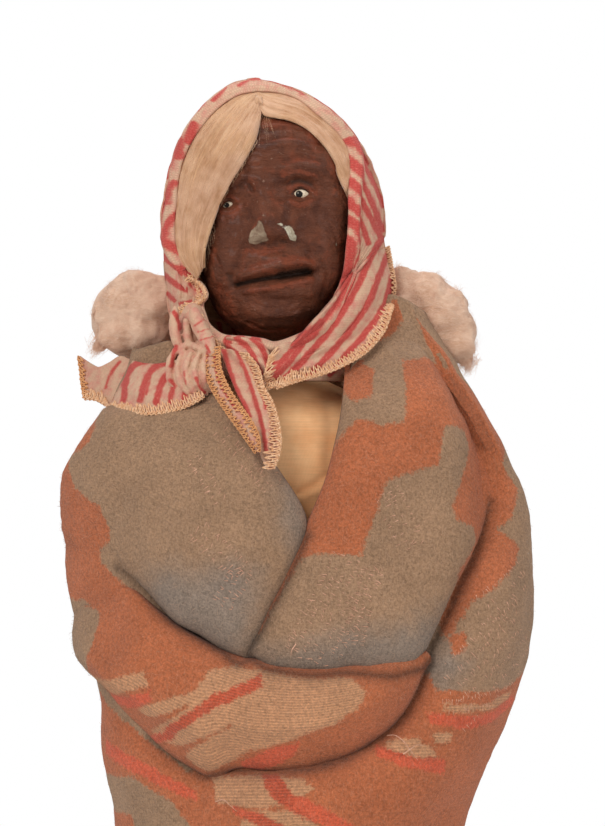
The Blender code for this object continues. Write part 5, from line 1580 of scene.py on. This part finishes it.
def makeSerging(name, jobs, material, body="head"):
    bm = bmesh.new()
    for line, inward, out, reach in jobs:
        sergeLine(bm, line, inward, out, reach)
    bmesh.ops.recalc_face_normals(bm, faces=bm.faces)
    return addPiece(name, bm, material, body)


sergeJobs = {  # piece: thread, and each sheet's edge with the reach of its loops in mm
    "scarfSerging": (sergeThread, [("scarfGather", "bottom", 3.4), ("neckRuffle", "bottom", 3.0), ("chinTie",
        "left", 5.4), ("chinTie", "bottom", 3.4), ("scarfHem", "bottom", 4.6)]),
    "sideSerging": (sergeThread, [("sideTail", "bottom", 5.0)]),
    "wideSerging": (sergeThread, [("wideTail", "bottom", 5.0)]),
    "narrowSerging": (tanThread, [("narrowTail", "bottom", 3.0), ("narrowTail", "top", 3.4)]),
    "sideEndSerging": (tanThread, [("sideTail", "right", 3.0)]),
}
for pieceName, (thread, edges) in sergeJobs.items():
    sewn = [(*edgeFrames(sheet, edge), reach * mm) for sheet, edge, reach in edges]
    made[pieceName] = makeSerging(pieceName, sewn, thread, "head" if pieceName == "scarfSerging" else None)

# the tails start at the knot and rest on the blanket
for pieceName in ("sideTailPiece", "sideSerging", "sideEndSerging"):
    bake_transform(made[pieceName])
for pieceName in ("wideTailPiece", "wideSerging", "narrowTailPiece", "narrowSerging"):
    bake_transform(made[pieceName])
print("overlocked edges made")

# Knot: cloth drawn together and wrapped round once

knotCores = [  # middle, half width and half height in picture points, then y and depth in mm
    ((194, 374), 20, 26, -24.0, 8.2), ((193, 336), 16, 34, -14.5, 8.6), ((204, 354), 13, 16, -24.5, 6.0),
]
knotFolds = [  # folds as traced, half width in picture points, height in mm
    ([(176, 306), (174, 320), (176, 338), (182, 354)], 5.4, 0.6), ([(186, 318), (187, 334), (193, 352)], 4.6, 0.2),
    ([(192, 308), (198, 323), (206, 339), (213, 356)], 8.2, 3.0),
    ([(178, 346), (170, 362), (172, 381), (186, 398)], 4.6, 0.3),
    ([(184, 350), (178, 366), (182, 384), (194, 400)], 3.7, 1.0),
    ([(191, 352), (186, 368), (190, 385), (201, 399)], 3.6, 0.7),
    ([(199, 352), (194, 369), (198, 385), (207, 395)], 3.8, 1.3),
    ([(207, 352), (203, 368), (205, 382), (211, 392)], 4.2, 0.9),
    ([(175, 353), (187, 345), (199, 348), (210, 356)], 3.6, 1.2),
]
knotStrokes = [
    [(174, 312), (178, 320), (180, 328), 4.2], [(176, 346), (173, 356), (171, 366), 3.6],
    [(171, 380), (178, 391), (184, 398), 3.4], [(196, 378), (199, 386), (204, 392), 3.2],
    [(207, 352), (209, 366), (208, 380), 2.4], [(194, 326), (206, 318), 0.9], [(198, 332), (212, 328), 0.9],
    [(201, 340), (214, 336), 0.9], [(206, 346), (210, 352), 2.6], [(184, 372), (186, 384), 1.4],
]


def knotFront(picture):
    depths = []
    for (column, row), wide, tall, back, deep in knotCores:
        away = ((picture[:, 0] - column) / wide) ** 2 + ((picture[:, 1] - row) / tall) ** 2
        depths.append(back - deep * np.sqrt(np.clip(1 - away, 0, 1)))
    return np.min(depths, axis=0) * mm


def remeshed(bm, voxel, smoothing):
    # one closed skin round all the bodies of a bmesh
    mesh = bpy.data.meshes.new("skin")
    bm.to_mesh(mesh)
    bm.free()
    holder = bpy.data.objects.new("skin", mesh)
    scene.collection.objects.link(holder)
    remesh = holder.modifiers.new("remesh", "REMESH")
    remesh.mode = "VOXEL"
    remesh.voxel_size = voxel
    smooth = holder.modifiers.new("smooth", "SMOOTH")
    smooth.iterations = smoothing
    bpy.context.view_layer.update()
    evaluated = bpy.data.meshes.new_from_object(holder.evaluated_get(bpy.context.evaluated_depsgraph_get()))
    bpy.data.objects.remove(holder)
    bm = bmesh.new()
    bm.from_mesh(evaluated)
    bm.normal_update()
    return bm


def foldTube(bm, line, radii):
    # a closed tapering roll along a line
    count, around = len(line), 14
    ahead = np.gradient(line, axis=0)
    rings = []
    for point, way, radius in zip(line, ahead, radii):
        way = Vector(way).normalized()
        side = way.cross(Vector((0, -1, 0))).normalized()
        up = side.cross(way)
        rings.append([bm.verts.new(Vector(point) + (side * math.cos(t) + up * math.sin(t) * 1.2) * radius)
                      for t in np.linspace(0, 2 * math.pi, around + 1)[:-1]])
    for first, second in zip(rings, rings[1:]):
        for k in range(around):
            bm.faces.new((first[k], first[(k + 1) % around], second[(k + 1) % around], second[k]))
    bm.faces.new(list(reversed(rings[0])))
    bm.faces.new(rings[-1])


def makeKnot():
    bm = bmesh.new()
    for (column, row), wide, tall, back, deep in knotCores:
        core = bmesh.ops.create_uvsphere(bm, u_segments=32, v_segments=20, radius=1)["verts"]
        bmesh.ops.scale(bm, vec=(wide * 0.37 * mm, deep * mm, tall * 0.37 * mm), verts=core)
        bmesh.ops.translate(bm, vec=spotAt(column, row, back * mm), verts=core)
    for points, half, high in knotFolds:
        picture = smoothLine(points, 20)
        share = np.linspace(0, 1, 20)
        front = np.convolve(np.pad(knotFront(picture), 2, "edge"), np.ones(5) / 5, "valid")
        line = fromPicture(picture[:, 0], picture[:, 1], front - (high - 0.1 * half) * mm)
        foldTube(bm, line, half * 0.38 * mm * (0.45 + 0.55 * np.sin(share * math.pi) ** 0.7))
    bmesh.ops.recalc_face_normals(bm, faces=bm.faces)
    bm = remeshed(bm, 0.36 * mm, 2)
    places = np.array([v.co for v in bm.verts])
    for vert, rise in zip(bm.verts, ripple(places, 3 * mm, 0.4 * mm, 61) + ripple(places, 1.3 * mm, 0.16 * mm, 62)):
        vert.co += vert.normal * float(rise)
    picture = toPicture(places)
    addLayer(bm, "stripe", stripeDepth(knotStrokes, picture))
    return addPiece("scarfKnot", bm, stripedCotton, "head")


scarfKnot = makeKnot()
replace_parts(scarfKnot, "scarf_knot")
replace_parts(made["sideTailPiece"], "scarf_side_tail")
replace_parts(made["narrowTailPiece"], "scarf_narrow_tail")
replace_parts(made["wideTailPiece"], "scarf_wide_tail")
print("knot made")

# Mohair: laid locks with fine strands over them, on a cap under the scarf

hairSet = {
    "leftLock": {
        "bottom": [(258, 100), (261, 112), (260, 124), (256, 140), (246, 159), (232, 181), (224, 196), (211, 222),
            (204, 246), (203, 268)],
        "top": [(262, 85), (244, 84), (224, 91), (200, 111), (182, 140), (171, 170), (165, 205), (164, 235),
            (172, 262), (194, 284)],
        "grid": (170, 70), "size": (0.085, 0.02), "strands": 620, "thick": 5.4,
    },
    "rightLock": {
        "bottom": [(256, 100), (264, 114), (276, 118), (290, 121), (309, 131), (327, 150), (338, 170), (346, 188),
            (353, 202)],
        "top": [(252, 84), (278, 84), (304, 92), (326, 106), (345, 124), (356, 142), (361, 162), (362, 186),
            (358, 204)],
        "grid": (130, 50), "size": (0.055, 0.012), "strands": 360, "thick": 4.0,
    },
}


def makeMohair():
    material, tree, place = newMaterial("mohair", 0.72, 0.25, 0.16, Anisotropic=0.25)
    cloth = clothOf(tree)
    fine = grainOf(tree, cloth, (55, 3600, 1), 4, 0.65, 0.3)
    broad = grainOf(tree, cloth, (22, 620, 1), 3, 0.6, 0.4)
    base = toned(tree, broad, 0.3, 0.7, colour(200, 148, 106), colour(228, 184, 142))
    base = toned(tree, noiseOf(tree, place, 55, 2, 0.5), 0.42, 0.62, base, colour(216, 176, 156), 0.5)
    base = shadedBy(tree, base, rangeOf(tree, fine, 0.3, 0.7, 0.84, 1.08))
    return coated(material, base, addTimes(tree, broad, 1.2, fine), 0.0003, 0.8)


mohair = makeMohair()
hairTone = makeThread("mohairStrand", colour(202, 154, 116), colour(236, 198, 164), 160)


def makeLock(name):
    given = hairSet[name]
    columns, rows = given["grid"]
    lines = edgeLines({key: given[key] for key in ("bottom", "top")}, columns, rows)
    kept = []

    def place(u, v):
        # v is 0 at the face and 1 under the scarf
        where = between(lines, columns, rows, u, v)
        y = np.full(len(where), -0.02)
        rise = np.sqrt(np.clip(1 - (1 - np.clip(v / 0.3, 0, 1)) ** 2, 0, 1))
        thick = given["thick"] * mm * (0.35 + 0.65 * np.sin(np.clip(u * 1.1 + 0.12, 0, 1) * math.pi) ** 0.5)
        groove = 0.16 * mm * np.sin(v * 30 + 3 * np.sin(u * 4)) + 0.1 * mm * np.sin(v * 67 + 4 * np.sin(u * 3 + 1))
        tuck = 4 * mm * np.clip((u - 0.86) / 0.14, 0, 1) ** 2
        mix = smoothShare(np.clip((v - 0.55) / 0.45, 0, 1))
        for _ in range(4):
            points = fromPicture(where[:, 0], where[:, 1], y)
            near = hairFront(points[:, 0], points[:, 2], rise * thick) + tuck
            y = near * (1 - mix) + hoodDepth(points[:, 0], points[:, 2], -1.6 * mm) * mix + groove
        points = fromPicture(where[:, 0], where[:, 1], y)
        kept.append(points.reshape(rows + 1, columns + 1, 3))
        return points, {}

    gridCloth(name, columns, rows, place, given["size"], mohair, 1.4 * mm, body="head")
    bm = bmesh.new()
    grid = kept[0]
    steps = 12
    for _ in range(given["strands"]):
        start = chance.uniform(0, 0.7)
        end = min(start + chance.uniform(0.25, 0.8), 1.0)
        v = chance.uniform(0.0, 0.97)
        drift = chance.normal(0, 0.09)
        i = np.linspace(start, end, steps) * columns
        j = np.clip(v + drift * np.sin(np.linspace(0, 2.6, steps)), 0, 1) * rows
        i0, j0 = np.clip(i.astype(int), 0, columns - 1), np.clip(j.astype(int), 0, rows - 1)
        fi, fj = (i - i0)[:, None], (j - j0)[:, None]
        line = (grid[j0, i0] * (1 - fi) * (1 - fj) + grid[j0, i0 + 1] * fi * (1 - fj)
                + grid[j0 + 1, i0] * (1 - fi) * fj + grid[j0 + 1, i0 + 1] * fi * fj)
        rise = (0.06 + chance.uniform(0, 0.62) ** 1.5 * np.sin(np.linspace(0.2, 3.0, steps))) * mm
        line[:, 1] -= rise
        line[:, 0] += np.where(v < 0.06, -rise * 0.6, 0) if name == "leftLock" else 0
        ribbon(bm, line, chance.uniform(0.04, 0.09) * mm)
    addPiece(name + "Strands", bm, hairTone, "head")


makeLock("leftLock")
makeLock("rightLock")


def makeHairCap():
    columns, rows = 160, 100

    def place(u, v):
        angle = (u - 0.5) * 2 * math.pi
        z = (346 + v * 88.0) * mm
        centre, wide, deep = hoodAt(z)
        inset = 2.6 * mm
        wide, deep = np.maximum(wide - inset, 1 * mm), np.maximum(deep - inset, 1 * mm)
        x = centre + wide * np.sin(angle)
        y = spineBack - 0.8 * mm - deep * np.cos(angle)
        y = np.where(np.cos(angle) > 0, np.maximum(hoodDepth(x, z, -inset), y), y)
        points = np.stack([x, y, z], axis=-1)
        return points + ripple(points, 7 * mm, 0.5 * mm, 31)[:, None] * 0.5, {}

    def gone(u, v):
        # the cap ends well under the scarf's edge
        points, _ = place(u, v)
        picture = toPicture(points)
        return (insideOf(openingRing, picture) | (farFrom(openingRing, picture) < 8)) & (points[:, 1] < spineBack)

    return gridCloth("hairCap", columns, rows, place, (0.24, 0.1), mohair, 1.6 * mm, True, gone, body="head")


hairCap = makeHairCap()
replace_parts(hairCap, "mohair_wig")

hairEdge = [(261, 112), (258, 136), (246, 159), (232, 181), (224, 196), (211, 222), (203, 246), (202, 262)]


def makeStrayHairs():
    bm = bmesh.new()
    edge = smoothLine(hairEdge, 60)
    for _ in range(120):
        spot = chance.integers(4, 58)
        column, row = edge[spot]
        low = spot > 40
        length = chance.uniform(10, 26) if low else chance.uniform(5, 13)
        bend = chance.uniform(-2, 7) if low else chance.uniform(0, 4)
        steps = np.linspace(0, 1, 12)
        columns = column - 2 + bend * np.sin(steps * 2.4) + (0 if low else -0.45 * length) * steps
        rows = row + length * steps
        y = headFront(*(fromPicture(columns, rows, -0.02)[:, k] for k in (0, 2)))
        y = y - (1.2 + chance.uniform(0.3, 1.6) * np.sin(steps * 3)) * mm
        ribbon(bm, fromPicture(columns, rows, y), 0.07 * mm)
    for _ in range(14):
        steps = np.linspace(0, 1, 12)
        columns = 262 + chance.normal(0, 2) + (chance.uniform(-2, 12)) * steps
        rows = 112 + chance.uniform(6, 36) * steps**1.3
        y = headFront(*(fromPicture(columns, rows, -0.02)[:, k] for k in (0, 2))) - (1.4 + 2 * steps * (1 - steps)) * mm
        ribbon(bm, fromPicture(columns, rows, y), 0.06 * mm)
    addPiece("strayHairs", bm, hairTone, "head")


makeStrayHairs()
print("mohair made")

# Fleece at the shoulders: a soft body with fine curled fibres all over

fleeceSet = {
    "left": {
        "node": "wadding_left", "y": 15 * mm, "wisp": (92, 354), "fibres": 5200,
        "lobes": [(131, 305, 33), (114, 314, 23), (150, 306, 28), (148, 330, 24), (122, 330, 22), (106, 336, 11),
            (99, 345, 6.5), (160, 296, 22), (140, 290, 22), (164, 326, 20)],
    },
    "right": {
        "node": "wadding_right", "y": 15 * mm, "wisp": (468, 372), "fibres": 5600,
        "lobes": [(404, 290, 24), (424, 300, 29), (440, 316, 29), (452, 330, 25), (458, 346, 18), (466, 358, 9),
            (430, 330, 26), (404, 312, 22), (448, 306, 20)],
    },
}


def makeFleece():
    material, tree, place = newMaterial("fleece", 1.0, 0.35, 0.1)
    broad = noiseOf(tree, place, 70, 3, 0.55, 0.5)
    fine = grainOf(tree, place, (420, 420, 1500), 5, 0.7, 1.6, (0.4, 0.5, 0.3))
    base = toned(tree, broad, 0.35, 0.65, colour(204, 158, 128), colour(230, 190, 162))
    base = toned(tree, fine, 0.42, 0.66, base, colour(240, 210, 186), 0.6)
    return coated(material, base, addTimes(tree, broad, 2.0, fine), 0.0006, 0.8)


fleece = makeFleece()
fleeceFibre = makeThread("fleeceFibre", colour(210, 166, 138), colour(238, 204, 180), 200)


def nodeCopy(node, name, material, voxel, swell=0.0, rough=0.6 * mm):
    # a soft piece in the space of a CAD node: its mesh merged, remeshed, and roughened a little
    bm = bmesh.new()
    bm.from_mesh(bpy.data.objects[node].data)
    bmesh.ops.remove_doubles(bm, verts=bm.verts, dist=0.002 * mm)
    bm = remeshed(bm, voxel, 4)
    moves = [(v, v.normal * (swell + noise.noise(v.co / (9 * mm)) * rough)) for v in bm.verts]
    for vert, move in moves:
        vert.co += move
    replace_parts(addPiece(name, bm, material, "body"), node)


def makeTuft(side):
    given = fleeceSet[side]
    bm = bmesh.new()
    for column, row, reach in given["lobes"]:
        near = given["y"] + chance.uniform(-2.5, 2.5) * mm
        lobe = bmesh.ops.create_uvsphere(bm, u_segments=24, v_segments=16, radius=reach * 0.38 * mm)["verts"]
        bmesh.ops.scale(bm, vec=(1, 0.86, 1), verts=lobe)
        bmesh.ops.translate(bm, vec=spotAt(column, row, near), verts=lobe)
    bm = remeshed(bm, 1.0 * mm, 7)
    places = np.array([v.co for v in bm.verts])
    swirl = ripple(places, 8 * mm, 1.5 * mm, 51) - 0.7 * np.abs(ripple(places * (1, 1, 1.6), 5 * mm, 1.5 * mm, 52))
    swirl = swirl + ripple(places, 2.2 * mm, 0.35 * mm, 53)
    for vert, rise in zip(bm.verts, swirl):
        vert.co += vert.normal * float(rise)
    bm.normal_update()
    surface = [(v.co.copy(), v.normal.copy()) for v in bm.verts]
    addPiece(side + "Tuft", bm, fleece, "body")
    bm = bmesh.new()
    steps = 7
    for _ in range(given["fibres"]):
        spot, way = surface[chance.integers(0, len(surface))]
        flow = Vector([noise.noise(spot / (9 * mm) + Vector(shift)) for shift in ((0, 0, 0), (5, 2, 1), (1, 7, 3))])
        flow += Vector(chance.normal(0, 0.1, 3))
        along = way.cross(flow).normalized()
        curl = way.cross(along)
        length = chance.uniform(3, 7) * mm
        rise = chance.uniform(0.0, 0.1)
        line = []
        for share in np.linspace(0, 1, steps):
            out = spot - way * (0.3 + 2.0 * share**3) * mm + along * length * share
            out = out + curl * math.sin(share * 3) * length * 0.16
            line.append(out + way * (math.sin(share * math.pi * 0.8) * length * rise))
        ribbon(bm, [tuple(p) for p in line], chance.uniform(0.06, 0.11) * mm, np.array(way))
    wispEnd = spotAt(*given["wisp"], given["y"])
    root = spotAt(*given["lobes"][5][:2], given["y"])
    for _ in range(200):
        start = root + Vector(chance.normal(0, 2.2 * mm, 3))
        end = root.lerp(wispEnd, chance.uniform(0.6, 1.05)) + Vector(chance.normal(0, 1.1 * mm, 3))
        bow = Vector(chance.normal(0, 1.0 * mm, 3))
        line = [tuple(start.lerp(end, share) + bow * math.sin(share * math.pi)) for share in np.linspace(0, 1, steps)]
        ribbon(bm, line, chance.uniform(0.08, 0.13) * mm)
    addPiece(side + "TuftFibres", bm, fleeceFibre, "body")
    nodeCopy(given["node"], side + "Wadding", fleece, 2.4 * mm, -0.8 * mm, 0.5 * mm)


makeTuft("left")
makeTuft("right")
print("fleece made")

# Muslin dress

dressSet = {
    "rows": [(52, 48.4, 32.9, 0), (100, 46.8, 32.9, 0), (160, 48.4, 35.2, 0), (210, 52, 37, 0),
        (260, 52, 35.9, -0.8), (290, 51, 33.3, -3.2), (306, 44.7, 28.9, -5.6), (316, 32.2, 23.7, -7.2),
        (323, 18.7, 17.4, -8)],
    "grid": (220, 190), "thickness": 1.0 * mm,
    "creases": [([(294, 494), (312, 484), (334, 468)], 2.6, -1.3), ([(292, 500), (316, 490), (334, 480)], 4.0, 0.8),
        ([(276, 424), (296, 434), (300, 446)], 4.0, -0.6), ([(300, 440), (312, 446), (318, 462)], 7.0, 0.7),
        ([(326, 396), (328, 430), (324, 466)], 5.0, -0.5)],
}


def makeMuslin():
    material, tree, place = newMaterial("muslinCloth", 0.85, 0.05, 0.15)
    cloth = clothOf(tree)
    weave = arithmetic(tree, "MAXIMUM", *(wavesOf(tree, cloth, way, 0.42 * mm, 1.8, 3, 30) for way in "XY"))
    slub = grainOf(tree, cloth, (90, 1600, 1), 3, 0.6)
    base = toned(tree, noiseOf(tree, place, 60, 4, 0.55), 0.35, 0.65, colour(243, 174, 118), colour(255, 202, 148))
    dim = times(tree, rangeOf(tree, weave, 0.2, 1, 0.88, 1.04), rangeOf(tree, slub, 0.3, 0.7, 0.93, 1.06))
    return coated(material, shadedBy(tree, base, dim), weave, 0.00012, 0.7)


muslinCloth = makeMuslin()


def makeDress():
    table = smoothLine(dressSet["rows"], 120)

    def place(u, v):
        angle = (u - 0.5) * 2 * math.pi
        z = (52.3 + v * 270.2) * mm
        wide, deep, centre = (np.interp(z / mm, table[:, 0], table[:, k]) * mm for k in (1, 2, 3))
        points = np.stack([centre + wide * np.sin(angle), spineBack - deep * np.cos(angle), z], axis=-1)
        picture = toPicture(points)
        lift = ripple(points, 20 * mm, 1.0, 41) + ripple(points, 7 * mm, 0.3, 42) - 0.7
        lift += 5.5 * np.exp(-(((z / mm) - 290) / 24) ** 2) * np.clip(np.cos(angle), 0, 1)
        for line, wideness, high in dressSet["creases"]:
            lift += high * np.exp(-(farFrom(smoothLine(line, 30), picture) / wideness) ** 2) * (np.cos(angle) > 0)
        low = np.clip((110 * mm - z) / (60 * mm), 0, 1)
        lift += low * 1.5 * np.sin(angle * 11 + 1.2 * np.sin(angle * 3))
        out = np.stack([np.sin(angle), -np.cos(angle), np.zeros(len(z))], axis=-1)
        return points + out * (lift * mm)[:, None], {}

    return gridCloth("muslinDress", *dressSet["grid"], place, (0.28, 0.27), muslinCloth, dressSet["thickness"], True)


muslinDress = makeDress()
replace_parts(muslinDress, "muslin_dress")
print("dress made")


# Frame, stuffing and feet

insideSet = {
    "pine": (colour(206, 164, 112), colour(176, 128, 78)), "straw": (colour(206, 168, 92), colour(150, 112, 52)),
    "sacking": (colour(196, 172, 132), colour(150, 124, 88)), "twine": (colour(184, 148, 98), colour(126, 94, 56)),
    "felt": (colour(122, 66, 48), colour(92, 46, 34)), "suede": (colour(168, 116, 76), colour(116, 74, 46)),
}


def makeGrainGroup():
    # long grain with rings and pores, along the third axis of the vector
    inputs = [("Vector", "Vector", None), ("Early", "Color", (1, 1, 1, 1)), ("Late", "Color", (1, 1, 1, 1))]
    tree, given, out = newGroup("woodGrain", inputs)
    bent = grainOf(tree, given["Vector"], (60, 60, 6), 3, 0.5)
    rings = grainOf(tree, given["Vector"], (700, 260, 9), 3, 0.55, 0.6)
    pores = grainOf(tree, given["Vector"], (2600, 2600, 120), 2, 0.6)
    base = toned(tree, addTimes(tree, bent, 0.5, rings), 0.6, 0.92, given["Early"], given["Late"])
    link(tree, toned(tree, pores, 0.6, 0.72, base, colour(112, 76, 44), 0.5), out["Color"])
    link(tree, addTimes(tree, pores, -0.6, rings), out["Height"])
    return tree


grainGroup = makeGrainGroup()


def makePine(name, turn):
    material, tree, place = newMaterial(name, 0.62, 0.0, 0.3)
    along = scaledVector(tree, place, (1, 1, 1), turn)
    grain = useGroup(tree, grainGroup, Vector=along, Early=insideSet["pine"][0], Late=insideSet["pine"][1])
    rough = rangeOf(tree, grain["Height"], 0, 1, 0.5, 0.75)
    return coated(material, grain["Color"], grain["Height"], 0.0002, 0.8, rough)


def makeSteel():
    material, tree, place = newMaterial("nailSteel", 0.35, 0.0, 0.5, Metallic=1.0)
    drawn = grainOf(tree, place, (3000, 200, 3000), 3, 0.6)
    rust = noiseOf(tree, place, 700, 4, 0.7)
    base = toned(tree, rust, 0.56, 0.7, colour(168, 168, 166), colour(120, 78, 52), 0.7)
    return coated(material, base, drawn, 0.00005, 0.6, rangeOf(tree, drawn, 0.3, 0.7, 0.28, 0.5))


def makeSoft(name, tones, scale, stretch=(1, 1, 1), depth=0.0003, roughness=0.95, sheen=0.1):
    # matt fibres or nap in two tones
    material, tree, place = newMaterial(name, roughness, sheen, 0.15)
    fibre = grainOf(tree, place, tuple(scale * k for k in stretch), 5, 0.7, 0.6)
    base = toned(tree, fibre, 0.36, 0.64, tones[1], tones[0])
    base = toned(tree, noiseOf(tree, place, 70, 3, 0.5), 0.4, 0.65, base, tones[1], 0.3)
    return coated(material, base, fibre, depth, 0.9)


def makeWeave(name, tones, pitch):
    # a coarse plain weave read in two directions of the object
    material, tree, place = newMaterial(name, 0.9, 0.05, 0.15)
    weave = arithmetic(tree, "MAXIMUM", *(wavesOf(tree, place, way, pitch, 2.0, 2, 20) for way in ("Z", "DIAGONAL")))
    base = toned(tree, weave, 0.3, 0.95, tones[1], tones[0])
    base = toned(tree, noiseOf(tree, place, 300, 4, 0.6), 0.5, 0.7, base, tones[1], 0.4)
    return coated(material, base, weave, 0.0003, 0.9)


pineUpright = makePine("pineUpright", (0, 0, 0))
pineAcross = makePine("pineAcross", (0, math.radians(90), 0))
pineForward = makePine("pineForward", (math.radians(90), 0, 0))
nailSteel = makeSteel()
strawTone = makeSoft("strawTone", insideSet["straw"], 900, (1, 1, 0.12), 0.0005, 0.8)
sackingCloth = makeWeave("sackingCloth", insideSet["sacking"], 0.9 * mm)
twineFibre = makeSoft("twineFibre", insideSet["twine"], 1800, (1, 1, 0.5), 0.0002)
redFelt = makeSoft("redFelt", insideSet["felt"], 1500, (1, 1, 1), 0.0003, 1.0, 0.2)
softSuede = makeSoft("softSuede", insideSet["suede"], 1100, (1, 1, 1), 0.0002, 0.85, 0.15)

for finish, nodeNames in (
    (pineUpright, ("spine_dowel", "left_leg_dowel", "right_leg_dowel")), (pineAcross, ("shoulder_lath", "hip_board")),
    (pineForward, ("left_foot_block", "right_foot_block")), (nailSteel, ("lath_nail",)),
    (softSuede, ("left_sole", "right_sole")),
):
    for nodeName in nodeNames:
        nodeMesh = bpy.data.objects[nodeName].data
        nodeMesh.materials.clear()
        nodeMesh.materials.append(finish)

nodeCopy("torso_bag", "torsoBag", sackingCloth, 1.5 * mm, 0.0, 0.8 * mm)
nodeCopy("straw_stuffing", "strawBody", strawTone, 1.7 * mm, 0.0, 0.9 * mm)
for side in ("left", "right"):
    nodeCopy(side + "_legging", side + "Legging", redFelt, 0.9 * mm, 0.0, 0.35 * mm)
for side in ("left", "right"):
    nodeCopy(side + "_moccasin", side + "Moccasin", softSuede, 0.7 * mm, 0.0, 0.3 * mm)


def makeTwine():
    # two plies wound three times round the neck of the bag
    low, high = (Vector(corner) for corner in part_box("neck_twine"))
    centre, wide, deep = (low + high) / 2, (high.x - low.x) / 2, (high.y - low.y) / 2
    bm = bmesh.new()
    t = np.linspace(0, 3 * 2 * math.pi, 360)
    rise = (t / (6 * math.pi) - 0.5) * (high.z - low.z - 0.5 * mm)
    for ply in (0, math.pi):
        out, up = 0.22 * mm * np.cos(t * 14 + ply), 0.22 * mm * np.sin(t * 14 + ply)
        x, y = centre.x + (wide - 0.5 * mm + out) * np.cos(t), centre.y + (deep - 0.5 * mm + out) * np.sin(t)
        threadMesh(bm, np.stack([x, y, centre.z + rise + up], axis=-1), 0.24 * mm, 6)
    bmesh.ops.recalc_face_normals(bm, faces=bm.faces)
    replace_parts(addPiece("neckTwine", bm, twineFibre, "body"), "neck_twine")


makeTwine()


def makeFootStitches(side):
    # running stitches that hold the sole, and the puckered seam over the toe
    low, high = (Vector(corner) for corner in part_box(side + "_sole"))
    centre, wide, deep = (low + high) / 2, (high.x - low.x) / 2, (high.y - low.y) / 2
    bm = bmesh.new()
    tree = treeOf(bpy.data.objects[side + "Moccasin"])
    for turn in np.linspace(0, 2 * math.pi, 41)[:-1]:
        ends = []
        for step in (-0.05, 0, 0.05):
            way = Vector((math.cos(turn + step) * wide, math.sin(turn + step) * deep, 0))
            start = Vector((centre.x, centre.y, 4.2 * mm)) + way * 1.4
            hit = tree.ray_cast(start, -way.normalized())[0]
            if hit:
                ends.append(tuple(hit + way.normalized() * 0.12 * mm))
        if len(ends) == 3:
            threadMesh(bm, ends, 0.28 * mm, 6)
    for turn in np.linspace(-1.9, 1.9, 17):
        ends = []
        for reach in (0.62, 0.72, 0.82):
            ahead = (0.28 + 0.62 * math.cos(turn)) * deep * reach
            spot = Vector((centre.x + math.sin(turn) * wide * reach, centre.y - ahead, 60 * mm))
            hit = tree.ray_cast(spot, Vector((0, 0, -1)))[0]
            if hit and hit.z > 5 * mm:
                ends.append(tuple(hit + Vector((0, 0, 0.15 * mm))))
        if len(ends) == 3:
            threadMesh(bm, ends, 0.3 * mm, 6)
    bmesh.ops.recalc_face_normals(bm, faces=bm.faces)
    addPiece(side + "FootStitches", bm, twineFibre, "body")


makeFootStitches("left")
makeFootStitches("right")
print("frame, stuffing and feet finished")
